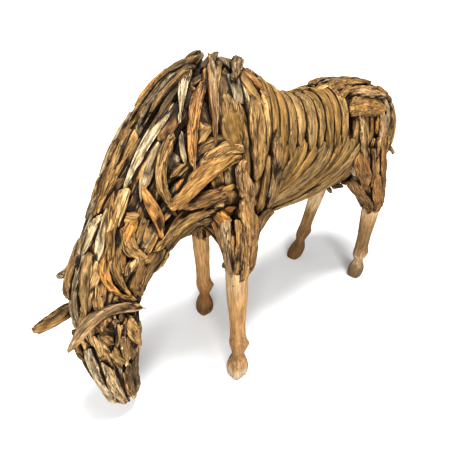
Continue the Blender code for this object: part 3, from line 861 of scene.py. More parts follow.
# %% Ribs and slats of the barrel
RIB_WOOD = {"light": 0.53, "silver": 0.0, "warm": 0.0, "vary": 0.07}
FILL_WOOD = {"light": 0.42}
cover = {node: [] for node in STRETCHES}
rump, barrel, shoulder, lower_neck, upper_neck, head = cover.values()
RIBS = ((1.03, 52), (1.13, 52), (1.225, 50), (1.325, 54), (1.445, 70), (1.575, 62),
        (1.705, 70), (1.83, 60), (1.94, 56), (2.05, 50))   # place near the top line, and width in mm
SLATS = (0.9, 1.0, 1.12, 1.23, 1.35, 1.46, 1.58, 1.69, 1.8, 1.92)   # place of the upper end
BELLY_END = 2.3                        # no slat goes further forward
for side in (1, -1):
    for place, wide in RIBS:
        foot = 86 + spread(-6, 6)
        route = ((place - 0.05, 2), (place, 30), (place + 0.11, 58), (place + 0.19, foot))
        barrel.append(laid([(a, b * side) for a, b in route], 0.008 + spread(-0.003, 0.002),
                           wide / 1000, 0.036, "rib", any_wood(**RIB_WOOD), spread(0, 50), tilt=6 * side))
    for place in SLATS:
        top = 80 + spread(-4, 4)
        route = [(place, top), (place + 0.14, 97), (place + 0.33, 109), (place + 0.57, 120),
                 (place + 0.82, 131)]
        route = [(a, b * side) for a, b in route if a < BELLY_END]
        barrel.append(laid(route, 0.004 + spread(-0.002, 0.002), 0.052, THICK,
                           dice.choice(("tapered", "rib")), any_wood(**RIB_WOOD), spread(0, 50),
                           tilt=8 * side))
print("ribs and slats:", len(barrel))

# %% Rows that fill the other stretches
HEAD_WOOD = {"light": 0.5, "silver": 0.38}
BLUNT, SLIM, THIN = ("plank", "tapered"), ("leaf", "tapered"), ("tapered", "plank")
ALL_ROUND = (-180, 180)
barrel += row((0.95, 2.05), (150, 210), "places", 0.05, SLIM, 0.3)
rump += row((0.04, 1.1), (-58, 58), "places", 0.045, SLIM, 0.34, woods=FILL_WOOD)
for side in (1, -1):
    rump += row((1.02, 0.0), (52 * side, 128 * side), "degrees", 0.06, ("plank", "rib"),
                woods=FILL_WOOD)
rump += row((0.04, 1.0), (120, 240), "places", 0.055, SLIM, 0.3, -0.003, woods=FILL_WOOD)
shoulder += row((1.9, 3.05), (-40, 40), "places", 0.048, BLUNT, 0.25, woods=FILL_WOOD)
for side in (1, -1):
    shoulder += row((3.05, 2.2), (30 * side, 150 * side), "degrees", 0.06, BLUNT, 0.3, -0.001,
                    woods=FILL_WOOD)
shoulder += row((1.9, 3.1), (140, 220), "places", 0.055, SLIM, 0.3, -0.002, woods=FILL_WOOD)
lower_neck += row((2.9, 4.1), ALL_ROUND, "places", 0.034, THIN, 0.22, 0.0, 0.4, FILL_WOOD)
upper_neck += row((3.9, 5.1), ALL_ROUND, "places", 0.032, THIN, 0.2, 0.0, 0.4, FILL_WOOD)
head += row((5.0, 5.96), ALL_ROUND, "places", 0.03, THIN, 0.16, 0.002, 0.3, HEAD_WOOD)
for node, sticks in cover.items():
    print(node, "has", len(sticks), "sticks so far")

# %% [markdown]
# ## Sticks laid by hand
# Rows alone look like roofing. Over them go the sticks that give this horse its look. Each is
# one line of a table: its tone, its width and the height of its top face in millimetres, its
# kind, and its route from the thick end to the thin one. A line that runs clear of the top line
# is laid on both sides. One cell follows for each part of the horse, from the croup forward.

# %% From a line of a table to a stick
TONES = {                              # lightness, greyness and warmth
    "tan": (0.55, 0.1, 0.1), "pale": (0.85, 0.2, 0.0), "grey": (0.45, 0.8, 0.0),
    "silver": (0.85, 0.9, 0.0), "ash": (0.6, 0.5, 0.1), "olive": (0.55, 0.0, 0.25),
    "orange": (0.55, 0.0, 0.85), "brown": (0.33, 0.1, 0.25), "dark": (0.1, 0.1, 0.1),
}
WIDER = 1.12                           # times wider than a line says
BOTH_SIDES_FROM = 30                   # degrees off the top line


def toned(tone):
    """A tone's lightness, greyness and warmth, a little off so that no two sticks match."""
    return tuple(min(1.0, max(0.0, value + spread(-0.06, 0.06))) for value in TONES[tone])


def by_hand(tone, wide, lift, kind, *route, surface=skin):
    """A stick from one line of a table; two or more heights lift it from its root to its tip."""
    thick = 0.022 + 0.2 * wide / 1000
    lift = np.array(lift) / 1000
    return laid(route, lift, WIDER * wide / 1000, thick, kind, toned(tone), spread(0, 50),
                surface=surface)


def lay(part, lines):
    """Lays every line of a table, on both sides where it runs clear of the top line."""
    for tone, wide, lift, kind, *route in lines:
        place, turn = np.mean(route, axis=0)
        made = by_hand(tone, wide, lift, kind, *route)
        node = STRETCHES[int(place)]
        cover[node].append(made)
        if turn > BOTH_SIDES_FROM:
            cover[node].append(mirrored(made))
    print(part, "lines:", len(lines))


# %% Croup and haunch
lay("croup and haunch", (
    ("olive", 105, 18, "oval", (1.04, 49), (0.78, 48), (0.53, 50)),
    ("brown", 34, (24, 26, 8), "tapered", (1.12, -4), (0.9, -9), (0.6, -8)),
    ("grey", 34, 12, "tapered", (1.05, -3), (0.8, -8), (0.48, -5)),
    ("brown", 32, 8, "tapered", (1.12, 5), (0.85, 3), (0.6, 3), (0.42, 8)),
    ("pale", 30, 8, "tapered", (1.2, 11), (0.95, 9), (0.72, 10)),
    ("brown", 42, 12, "tapered", (1.05, 20), (0.85, 17), (0.68, 18), (0.5, 22)),
    ("tan", 36, 14, "plank", (1.06, 33), (0.92, 27), (0.8, 26)),
    ("tan", 30, 12, "tapered", (0.97, 31), (0.75, 28), (0.52, 31)),
    ("grey", 40, 18, "tapered", (0.85, 38), (0.68, 38), (0.48, 44)),
    ("brown", 50, 12, "tapered", (0.48, 30), (0.32, 40)),
    ("dark", 40, 8, "plank", (0.45, 38), (0.3, 47)),
    ("grey", 70, 8, "plank", (0.5, 50), (0.43, 70), (0.48, 92)),
    ("orange", 40, 8, "plank", (0.65, 60), (0.65, 82)),
    ("tan", 44, 10, "tapered", (0.67, 88), (0.68, 106), (0.6, 128)),
    ("tan", 60, 8, "tapered", (0.88, 95), (0.85, 112), (0.68, 132)),
    ("tan", 44, 7, "rib", (0.95, 50), (0.96, 66), (1.0, 80), (1.06, 93)),
    ("pale", 40, 12, "tapered", (0.53, 93), (0.5, 112)),
))

# %% [markdown]
# ### Flank and belly
# Where the thigh meets the barrel, dark twigs stand off the body, and a long pale slat and a
# tan one run forward along the belly. Twigs that stand off have two heights, root and tip.

# %% Flank and belly
lay("flank and belly", (
    ("dark", 22, (6, 34), "tapered", (1.1, 135), (0.98, 140), (0.86, 142)),
    ("brown", 18, (6, 40), "tapered", (1.06, 146), (0.94, 152)),
    ("dark", 40, 4, "tapered", (1.05, 112), (1.28, 124)),
    ("dark", 30, 0, "tapered", (1.0, 128), (1.2, 132)),
    ("pale", 42, 9, "tapered", (0.98, 90), (1.17, 106), (1.5, 121), (1.8, 130), (2.1, 137)),
    ("tan", 46, 4, "tapered", (0.98, 108), (1.2, 122), (1.5, 134), (1.8, 142)),
))

# %% [markdown]
# ### Withers
# The highest part of the back is a knot of short crossed pieces, so most of these routes run
# down from the top line rather than along it.

# %% Withers
lay("withers", (
    ("orange", 50, 12, "plank", (2.56, 18), (2.66, 28), (2.79, 41)),
    ("brown", 45, 8, "tapered", (2.58, 30), (2.63, 40), (2.7, 49)),
    ("tan", 84, 10, "leaf", (2.55, 42), (2.6, 56), (2.66, 70)),
    ("grey", 42, 12, "plank", (2.42, 30), (2.47, 40), (2.52, 52)),
    ("orange", 48, 12, "tapered", (2.3, 20), (2.2, 30), (2.12, 40)),
    ("brown", 40, 14, "plank", (2.52, 12), (2.5, 22)),
    ("grey", 32, 12, "tapered", (2.38, 5), (2.42, 24)),
    ("brown", 36, 14, "tapered", (2.24, 6), (2.3, 25)),
    ("pale", 28, 12, "tapered", (2.19, 45), (2.2, 60), (2.23, 76)),
    ("brown", 30, 8, "tapered", (2.12, 40), (2.14, 58), (2.18, 76)),
))

# %% [markdown]
# ### Shoulder and chest
# Long narrow sticks run forward over the shoulder to the chest. The broad planks of the
# shoulder blade are large sticks, which have cells of their own further on.

# %% Shoulder and chest
lay("shoulder and chest", (
    ("grey", 20, 14, "rib", (3.2, 50), (3.27, 70)),
    ("tan", 60, 8, "tapered", (2.93, 58), (3.03, 60), (3.14, 62)),
    ("tan", 45, 8, "tapered", (2.62, 77), (2.8, 73), (3.0, 70), (3.19, 74)),
    ("pale", 44, 14, "tapered", (2.57, 78), (2.85, 77), (3.05, 80), (3.22, 84)),
    ("tan", 50, 6, "plank", (2.74, 106), (2.88, 108), (3.0, 110)),
    ("orange", 50, 8, "plank", (2.72, 124), (2.9, 122)),
    ("brown", 30, 12, "rib", (2.24, 84), (2.24, 100), (2.24, 118), (2.2, 132)),
    ("grey", 20, 14, "rib", (2.17, 98), (2.17, 114)),
    ("grey", 60, 6, "oval", (3.32, 55), (3.42, 66)),
    ("tan", 28, 10, "tapered", (3.28, 68), (3.46, 68)),
    ("orange", 26, 8, "tapered", (3.37, 77), (3.48, 82)),
))

# %% [markdown]
# ### Crest of the neck
# The mane starts here: thin dark twigs with their tips in the air, then overlapping rods that
# run forward along the crest. They are dark against the rest of the neck.

# %% Crest of the neck
lay("crest of the neck", (
    ("dark", 26, (10, 26, 46), "tapered", (2.74, 4), (2.68, 3), (2.62, 6)),
    ("brown", 24, (14, 40), "tapered", (2.72, -6), (2.55, 2)),
    ("dark", 30, (16, 38), "tapered", (2.68, 20), (2.45, 12)),
    ("brown", 24, (20, 46), "tapered", (2.9, 10), (2.66, 12)),
    ("dark", 26, 26, "tapered", (2.76, 16), (2.98, 12), (3.1, 10)),
    ("brown", 24, 34, "tapered", (2.72, 10), (2.95, 4), (3.12, 2)),
    ("tan", 22, 32, "rib", (2.86, 18), (3.1, 18), (3.3, 19)),
    ("grey", 24, 30, "tapered", (2.94, 12), (3.16, 12), (3.42, 15)),
    ("dark", 22, 24, "tapered", (2.98, 24), (3.2, 26), (3.4, 27)),
    ("brown", 26, 28, "rib", (2.98, 6), (3.2, 8), (3.38, 10)),
    ("tan", 24, 26, "tapered", (3.02, 0), (3.2, -4), (3.4, -6)),
    ("brown", 40, 14, "tapered", (2.74, -12), (3.02, -10)),
    ("dark", 42, 10, "tapered", (2.75, 4), (3.02, 3)),
    ("grey", 32, 10, "rib", (3.04, 12), (3.3, 12), (3.5, 17)),
    ("grey", 28, 8, "rib", (3.03, 0), (3.28, 3)),
    ("grey", 48, 12, "plank", (3.2, -10), (3.43, -14)),
    ("tan", 30, 12, "tapered", (3.34, -1), (3.56, -6)),
    ("brown", 44, 10, "tapered", (3.38, -20), (3.6, -23)),
    ("dark", 26, 6, "tapered", (3.35, 6), (3.52, 6)),
    ("tan", 33, 10, "tapered", (3.46, 15), (3.6, 13), (3.74, 10)),
    ("dark", 30, 6, "tapered", (3.48, 23), (3.7, 21)),
    ("orange", 46, 16, "plank", (3.06, 37), (3.2, 39), (3.37, 40)),
    ("tan", 26, 10, "tapered", (3.12, 31), (3.34, 34)),
    ("grey", 34, 12, "tapered", (3.38, 41), (3.52, 43), (3.68, 47), (3.82, 53)),
    ("orange", 34, 8, "tapered", (3.48, 37), (3.62, 38), (3.75, 41)),
    ("brown", 42, 10, "tapered", (3.53, -26), (3.75, -24)),
    ("tan", 34, 12, "tapered", (3.68, 13), (3.83, 10), (3.96, 7)),
))

# %% [markdown]
# ### Neck
# Silvery and pale rods follow the top of the neck. Browner planks lie further down its side,
# and some of them turn down towards the throat.

# %% Neck
lay("neck", (
    ("tan", 34, 14, "plank", (3.76, 12), (4.0, 7), (4.17, 5)),
    ("dark", 30, 6, "plank", (3.78, 22), (3.97, 19)),
    ("brown", 32, 10, "plank", (3.85, 27), (4.07, 20)),
    ("pale", 36, 18, "plank", (3.82, 34), (4.0, 35), (4.2, 37)),
    ("silver", 32, 12, "tapered", (4.03, 24), (4.2, 26), (4.45, 33), (4.66, 35)),
    ("silver", 34, 14, "tapered", (4.14, 13), (4.35, 9), (4.58, 0)),
    ("grey", 32, 10, "tapered", (4.5, 12), (4.7, 8), (4.88, 2)),
    ("pale", 40, 14, "tapered", (4.48, 38), (4.7, 36), (5.02, 28)),
    ("tan", 38, 8, "plank", (4.02, 44), (3.93, 60)),
    ("orange", 32, 12, "tapered", (3.97, 56), (4.13, 56), (4.25, 62)),
    ("tan", 46, 10, "tapered", (4.12, 58), (4.22, 74), (4.17, 98)),
    ("brown", 38, 5, "plank", (3.93, 66), (4.1, 72)),
    ("brown", 34, 5, "plank", (3.92, 78), (4.08, 84)),
    ("brown", 34, 5, "plank", (3.9, 90), (4.06, 98)),
    ("tan", 36, 14, "tapered", (4.12, 46), (4.3, 54), (4.5, 64), (4.72, 112)),
    ("orange", 34, 18, "leaf", (4.25, 43), (4.48, 47), (4.6, 55), (4.7, 84)),
    ("orange", 22, 8, "rib", (4.1, 54), (4.27, 62), (4.48, 76)),
    ("pale", 46, 8, "plank", (4.26, 80), (4.4, 88)),
    ("brown", 48, 6, "plank", (4.22, 96), (4.45, 104), (4.68, 118)),
    ("tan", 40, 8, "plank", (3.93, 107), (4.2, 112), (4.55, 120)),
    ("pale", 30, 8, "rib", (3.9, 125), (4.28, 128)),
    ("tan", 36, 14, "tapered", (4.62, 50), (4.85, 55), (5.02, 54)),
    ("orange", 40, 4, "plank", (4.72, 75), (4.78, 118)),
))

# %% [markdown]
# ### Head
# Short planks shape the cheek, the brow and the bridge of the nose. A dark oval, its tone
# painted shade, stands for the hollow of the eye, with a brown one in front of it, and long
# planks close the jaw.

# %% Head
lay("head", (
    ("tan", 34, 14, "tapered", (4.76, 50), (4.88, 53), (4.97, 62)),
    ("pale", 24, 16, "tapered", (4.72, 42), (4.88, 40), (5.04, 36)),
    ("grey", 22, 14, "tapered", (4.84, 14), (5.0, 16), (5.14, 22)),
    ("tan", 22, 12, "tapered", (5.28, 68), (5.36, 80), (5.44, 92)),
    ("dark", 20, 6, "tapered", (5.3, 100), (5.42, 104)),
    ("brown", 22, (26, 32, 28), "tapered", (5.3, -8), (5.37, -8), (5.44, -4)),
    ("tan", 40, 10, "plank", (4.96, 34), (5.2, 20)),
    ("tan", 24, 12, "rib", (4.88, 60), (4.97, 76)),
    ("grey", 36, 10, "tapered", (4.68, 2), (4.97, 5)),
    ("grey", 34, 10, "tapered", (4.98, -12), (5.22, -6)),
    ("dark", 34, 4, "plank", (5.0, 12), (5.15, 14)),
    # the hollow of the eye: a dark oval whose tone is painted shade
    ("dark", 50, 4, "oval", (5.05, 58), (5.16, 72)),
    ("pale", 18, 14, "rib", (5.02, 89), (5.13, 87), (5.24, 81)),
    ("orange", 36, 6, "plank", (4.99, 100), (5.16, 108)),
    ("brown", 56, 6, "oval", (4.98, 122), (5.16, 130)),
    ("pale", 46, 10, "plank", (5.16, 52), (5.38, 56)),
    ("brown", 40, 12, "oval", (5.12, 57), (5.22, 72)),
    ("tan", 30, 10, "tapered", (5.25, 73), (5.47, 82)),
    ("brown", 42, 8, "plank", (5.15, 96), (5.43, 98)),
    ("brown", 34, 8, "plank", (5.17, 110), (5.4, 108)),
    ("pale", 34, 10, "plank", (5.24, 22), (5.46, 28)),
    ("pale", 22, 6, "plank", (5.52, 84), (5.86, 86)),
    ("brown", 36, 6, "plank", (5.48, 98), (5.92, 98)),
    ("dark", 50, 6, "plank", (5.45, 117), (5.88, 120)),
    ("orange", 28, 6, "rib", (5.42, -8), (5.7, -9), (5.96, -6)),
))

# %% [markdown]
# ### Darker crest
# Along the crest of the neck the sticks are darker than the rest, partly darker wood and partly
# painted shade. One rule changes every stick whose middle lies high up and in front of the
# withers, instead of a tone for each.

# %% Darker on the crest
CREST_FROM_Z, CREST_FROM_X = 1.12, -0.2
# the crest's darkening, partly darker wood and partly painted shade
CREST_DARKENING = (-0.24, 0.08, -0.05)      # added to lightness, greyness and warmth


def darker_on_the_crest(made):
    """Darkens a stick that lies on the crest of the neck: partly darker wood, partly painted shade."""
    middle = made["spot"].mean(axis=0)
    if middle[2] > CREST_FROM_Z and middle[0] < CREST_FROM_X:
        made["wood"] = np.clip(np.array(made["wood"]) + CREST_DARKENING, 0, 1)
        return True
    return False


print("darker on the crest:", sum([darker_on_the_crest(made) for made in shoulder + lower_neck]))

# %% [markdown]
# ## The back of the rump
# Behind, the rump ends in a flat face under the tail, which the chart can't describe, because
# it starts there. How the real horse is closed at this point isn't known, so upright sticks
# like those of the haunches are assumed. Two tiers of nine are laid by rays that are shot
# forward from behind the horse, and the outer sticks turn to the sides.

# %% Upright sticks behind
REAR_TIERS = ((0.93, 0.7), (1.05, 0.84))   # height of upper and lower end in the middle
REAR_REACH, REAR_COUNT = 0.17, 9       # half width of a tier, and its sticks
BEHIND, SUNK = 1.2, 0.004              # rays start here, and the sticks lie this deep
rear_luck = np.random.default_rng(21)


def rear_stick(across, high, low, wide):
    """An upright stick over the flat back of the rump."""
    shares = smooth_steps(max(9, int((high - low) / RING_STEP)))
    lean = rear_luck.uniform(-0.02, 0.02)
    middles = []
    for share in shares:
        side = across * (1.0 - 0.12 * share) + lean * share
        start = Vector((BEHIND, side, high + (low - high) * share))
        hit = trees[0].ray_cast(start, Vector((-1, 0, 0)))
        back = hit[0].x if hit[0] else middles[-1][0]
        middles.append((back - SUNK, side, start.z))
    ups = unit(np.tile((1.0, 1.6 * across, 0.0), (len(shares), 1)))
    wood = (rear_luck.uniform(0.3, 0.6), rear_luck.uniform(0.0, 0.4), rear_luck.uniform(0.0, 0.4))
    return stick(np.array(middles), ups, wide, THICK,
                 "plank" if rear_luck.random() < 0.6 else "tapered", wood, rear_luck.uniform(0, 50))


for high, low in REAR_TIERS:
    for across in np.linspace(-REAR_REACH, REAR_REACH, REAR_COUNT):
        drop = 1.4 * across ** 2
        rump.append(rear_stick(across + rear_luck.uniform(-0.005, 0.005),
                               high - drop + rear_luck.uniform(-0.02, 0.02),
                               low + drop + rear_luck.uniform(-0.03, 0.02),
                               rear_luck.uniform(0.042, 0.056)))
print("upright sticks behind:", len(REAR_TIERS) * REAR_COUNT)

# %% [markdown]
# ## The body's six pieces
# Every stretch is now a list of sticks, and each list becomes one piece that takes the place
# of its CAD stretch. The ribs are smoother than the rest of the horse, so the barrel has
# gentler edges and furrows and a wood of its own.

# %% Body pieces
OWN_SIZES = {"barrel_ribs": {"wood": "smooth_tan", "Edge_wander": 0.12, "Gnarl": 0.003,
                             "Furrow": 0.003}}
for node, sticks in cover.items():
    finish_piece(node + "_wood", sticks, "tan_driftwood", node, **OWN_SIZES.get(node, {}))

# %% [markdown]
# ## Lower legs
# The lower legs are carved from one piece each: a smooth shank, a fetlock with a spur behind
# it, a slim pastern and a hoof. Level slices of the CAD leg give its middle and its size at
# every height, and the same sweep rounds it off. The tone changes with the height, because the
# hooves are greyer or darker than the wood above them.

# %% Level slices of a leg
def edges_of(node):
    """The corner points of a CAD node, and the pairs of them that edges join."""
    work = merged(node)
    points = np.array([v.co for v in work.verts])
    pairs = np.array([[v.index for v in e.verts] for e in work.edges])
    work.free()
    return points, pairs


def cut(points, pairs, reach, level):
    """The spots where edges pass a level of the reach, which is given for each point."""
    a, b = reach[pairs[:, 0]], reach[pairs[:, 1]]
    crossing = (a - level) * (b - level) < 0
    t = ((level - a) / np.where(b == a, 1, b - a))[crossing, None]
    return points[pairs[crossing, 0]] * (1 - t) + points[pairs[crossing, 1]] * t


def level_slices(node, heights):
    """Middle x, middle y, half length and half width of a node at the heights."""
    points, pairs = edges_of(node)
    rows = []
    for height in heights:
        spots = cut(points, pairs, points[:, 2], height)
        low, high = spots.min(axis=0), spots.max(axis=0)
        rows.append((*(low + high)[:2] / 2, *(high - low)[:2] / 2))
    return np.array(rows)


print("left fore leg at 0.3 m:", level_slices("left_fore_leg", (0.3,))[0].round(3))

# %% Rings of a lower leg
LEG_TONES = {                          # rows of height, lightness, greyness, warmth
    "left_fore_leg": ((0.0, 0.25, 0.7, 0.0), (0.045, 0.32, 0.55, 0.0), (0.065, 0.33, 0.15, 0.3),
                      (0.12, 0.28, 0.0, 0.35), (0.3, 0.43, 0.0, 0.3), (0.42, 0.46, 0.0, 0.15),
                      (0.47, 0.5, 0.05, 0.0), (0.5, 0.5, 0.2, 0.0)),
    "right_fore_leg": ((0.0, 0.1, 0.3, 0.8), (0.03, 0.0, 0.05, 0.9), (0.1, 0.16, 0.0, 0.8),
                       (0.25, 0.45, 0.0, 0.4), (0.42, 0.55, 0.0, 0.1)),
    "left_hind_leg": ((0.0, 0.0, 0.15, 0.0), (0.07, 0.02, 0.2, 0.0), (0.1, 0.25, 0.3, 0.0),
                      (0.15, 0.42, 0.3, 0.0), (0.22, 0.1, 0.0, 0.0), (0.38, 0.22, 0.0, 0.0),
                      (0.43, 0.5, 0.1, 0.0), (0.47, 0.65, 0.4, 0.0)),
    "right_hind_leg": ((0.0, 0.05, 0.0, 0.3), (0.1, 0.12, 0.0, 0.3), (0.2, 0.2, 0.0, 0.2),
                       (0.3, 0.25, 0.0, 0.1), (0.37, 0.62, 0.35, 0.0), (0.5, 0.66, 0.45, 0.0)),
}
LEG_GIRTH = {                          # share of the CAD's girth at the hoof and at the shank
    "left_fore_leg": (0.84, 0.86), "right_fore_leg": (0.82, 0.97),
    "left_hind_leg": (0.84, 0.96), "right_hind_leg": (0.92, 1.0),
}
SPUR_Z, SPUR_SIZE = 0.175, 0.005       # the spur behind the fetlock


def carved_leg(node, hidden):
    """Rings of a lower leg from the sole up, going on for a little inside the sticks above."""
    low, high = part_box(node)
    heights = low.z + (high.z - low.z) * smooth_steps(90)
    rows = softened(level_slices(node, np.clip(heights, low.z + 0.0005, high.z - 0.0005)), 8)
    lean = (rows[-1, :2] - rows[-25, :2]) / (heights[-1] - heights[-25])
    extra = np.linspace(0, hidden, 12)[1:]
    heights = np.concatenate((heights, high.z + extra))
    rows = np.vstack((rows, [(*(rows[-1, :2] + lean * more), *rows[-1, 2:]) for more in extra]))
    middles = np.column_stack((rows[:, 0], rows[:, 1], heights))
    count = len(heights)
    spur = np.exp(-((heights - SPUR_Z) / 0.016) ** 2)
    middles[:, 0] += SPUR_SIZE * spur
    hoof, shank = LEG_GIRTH[node]
    fetlock = 0.5 * (1 + shank)
    waist = np.interp(heights, (0.0, 0.03, 0.06, 0.09, 0.118, 0.15, 0.19, 0.3, 0.5),
                      (0.93 * hoof, hoof, 1.03 * hoof, hoof, 0.93 * hoof, fetlock, fetlock, shank, 1.0))
    tones = np.array(LEG_TONES[node])
    wood = np.column_stack([np.interp(heights, tones[:, 0], tones[:, k]) for k in (1, 2, 3)])
    return {"spot": middles, "side": np.tile((0.0, -1.0, 0.0), (count, 1)), "run": heights,
            "up": np.tile((-1.0, 0.0, 0.0), (count, 1)), "half_wide": rows[:, 3] * waist,
            "half_thick": (rows[:, 2] + SPUR_SIZE * spur) * waist,
            "wood": wood, "seed": np.full(count, len(node) * 1.7 + low.x)}


# %% Carved lower legs
HIDDEN = {"fore": 0.16, "hind": 0.03}  # how far a leg goes on inside the sticks above it
for node in [n for n in NODES if n.endswith("_leg")]:
    finish_piece(node + "_carved", [carved_leg(node, HIDDEN[node.split("_")[1]])], "carved_wood",
                 node, sides=40, Edge_wander=0.03, Gnarl=0.0012, Furrow=0.0006)

# %% [markdown]
# ## Upper legs
# Round the top of each leg stands a bundle of sticks that hides where the leg goes into the
# body. To lay them, we chart the outside of leg and body together from the leg's own axis, the
# way the body was charted: its two coordinates are the share of the height, and degrees round
# the axis.

# %% Chart of an upper leg
LIMB_ROWS, LIMB_TURNS, LIMB_REACH = 40, 48, 0.3


def limb_surface(lower, upper, side):
    """The outside of an upper leg; 0 degrees faces away from the horse's middle, + the front."""
    low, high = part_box(upper)
    axis = level_slices(lower, (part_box(lower)[1].z - 0.001,))[0][:2]
    top = np.array(((low.x + high.x) / 2, (low.y + high.y) / 2))
    tree = tree_of(upper, *STRETCHES[:3])
    chart = np.zeros((LIMB_ROWS + 1, LIMB_TURNS))

    def axis_and_way(shares, degrees):
        """The leg's leaning axis and the direction out of it."""
        lean = (np.maximum(shares, 0) ** 1.3)[:, None]
        spot = np.column_stack((axis + (top - axis) * lean, low.z + (high.z - low.z) * shares))
        turn = np.radians(degrees)
        return spot, np.column_stack((-np.sin(turn), side * np.cos(turn), np.zeros(len(turn))))

    for r in range(LIMB_ROWS + 1):
        share = np.full(LIMB_TURNS, min(max(r / LIMB_ROWS, 0.01), 0.98))
        spot, ways = axis_and_way(share, np.arange(LIMB_TURNS) * 360 / LIMB_TURNS)
        for k in range(LIMB_TURNS):
            start = Vector(spot[k] + ways[k] * LIMB_REACH)
            hit = tree.ray_cast(start, Vector(-ways[k]), LIMB_REACH)
            chart[r, k] = LIMB_REACH - hit[3] if hit[0] else 0.03
    for _ in range(3):
        chart = np.maximum(chart, (np.roll(chart, 1, 1) + np.roll(chart, -1, 1)) / 2)
        chart = blend_rows(chart)

    def surface(shares, degrees):
        """Points of the chart for arrays of shares and degrees."""
        shares, degrees = np.broadcast_arrays(np.asarray(shares, float), np.asarray(degrees, float))
        spot, way = axis_and_way(np.clip(shares, *surface.span), degrees)
        return spot + way * read_chart(chart, shares * LIMB_ROWS, degrees)[:, None]

    surface.span = (-0.1, 1.1)
    return surface


tried = limb_surface("left_fore_leg", "left_forearm_sticks", -1)
print("outside of the left forearm, half way up:", tried([0.5], [0])[0].round(3))

# %% Sticks of forearm and thigh
FOREARM = (
    ("orange", 42, 14, "plank", (0.93, 104), (0.86, 90), (0.8, 80)),
    ("olive", 26, 8, "tapered", (0.86, 118), (0.68, 112), (0.4, 104)),
    ("ash", 44, 16, "plank", (0.88, 94), (0.68, 86), (0.36, 82)),
    ("olive", 26, 13, "plank", (0.76, 68), (0.33, 66)),
    ("tan", 34, 15, "plank", (0.87, 55), (0.68, 48), (0.38, 48)),
    ("tan", 36, 15, "plank", (0.84, 24), (0.55, 22), (0.3, 25)),
    ("tan", 58, 16, "leaf", (1.08, 22), (0.85, 10), (0.6, 2)),
    ("tan", 44, 10, "plank", (0.9, -30), (0.65, -15), (0.36, -6)),
    ("dark", 26, 2, "plank", (0.75, -60), (0.6, -45), (0.4, -38)),
    ("brown", 36, -2, "plank", (0.75, -90), (0.6, -90), (0.36, -90)),
    ("tan", 36, 0, "plank", (0.75, -130), (0.6, -130), (0.34, -130)),
    ("brown", 36, 4, "plank", (0.8, 160), (0.6, 155), (0.36, 150)),
)
THIGH = (
    ("tan", 62, 14, "plank", (0.54, 102), (0.3, 88), (0.06, 78)),
    ("olive", 56, 14, "tapered", (0.52, 62), (0.27, 50), (0.02, 32)),
    ("dark", 22, 10, "rib", (0.7, 28), (0.25, 26)),
    ("tan", 40, 12, "plank", (0.7, 62), (0.54, 62), (0.38, 65)),
    ("olive", 70, 12, "plank", (0.8, 83), (0.62, 81), (0.42, 75)),
    ("tan", 26, 14, "rib", (0.8, 70), (0.62, 68), (0.4, 70)),
    ("pale", 36, 14, "tapered", (0.9, 58), (0.7, 62)),
    ("olive", 60, 12, "plank", (0.98, 36), (0.7, 38), (0.5, 42)),
    ("tan", 46, 8, "plank", (0.6, 0), (0.3, 0), (0.06, 0)),
    ("tan", 46, 8, "plank", (0.6, -60), (0.3, -50), (0.05, -45)),
    ("brown", 46, 8, "plank", (0.6, -110), (0.3, -100), (0.06, -95)),
    ("tan", 46, 8, "plank", (0.6, -160), (0.3, -150), (0.05, -150)),
    ("brown", 46, 8, "plank", (0.6, 150), (0.3, 140), (0.07, 130)),
)
print("lines for a forearm and a thigh:", len(FOREARM), len(THIGH))

# %% Bundles
FOOT = {"left_fore_leg": 0.38, "right_fore_leg": 0.2, "left_hind_leg": 0.08,
        "right_hind_leg": 0.08}        # share of the height where a bundle's row of sticks ends
for side, turned in (("left", -1), ("right", 1)):
    for lower, upper, lines in ((side + "_fore_leg", side + "_forearm_sticks", FOREARM),
                                (side + "_hind_leg", side + "_thigh_sticks", THIGH)):
        surface = limb_surface(lower, upper, turned)
        bundle = row((0.78, FOOT[lower]), ALL_ROUND, "places", 0.042, ("plank", "rib"), 0.3, -0.002,
                     surface=surface)
        for tone, wide, lift, kind, *route in lines:
            bundle.append(by_hand(tone, wide, lift, kind, *route, surface=surface))
        finish_piece(upper + "_wood", bundle, "brown_driftwood", upper)

# %% [markdown]
# ## The large sticks
# The largest sticks are solids in the CAD, each cut to fit what it lies on. Their paths are
# measured from those solids: slices across the long axis give the middle, the width and the
# thickness, and the body's surface under each slice says which way is out. Swept again with
# the same tree they keep their place and size, and gain the worn outline and the furrows.

# %% Which way is out
chart_places = np.repeat(np.linspace(0, 6, 121), 72)
chart_turns = np.tile(np.arange(72) * 5.0, 121)
chart_spots = skin(chart_places, chart_turns)
chart_normals = outward(skin, chart_places, chart_turns)


def normal_near(spot):
    """The body's outward direction at the surface point nearest to a spot."""
    return chart_normals[np.argmin(((chart_spots - spot) ** 2).sum(axis=1))]


print("out at the withers:", normal_near(np.array((-0.1, 0.0, 1.3))).round(2))

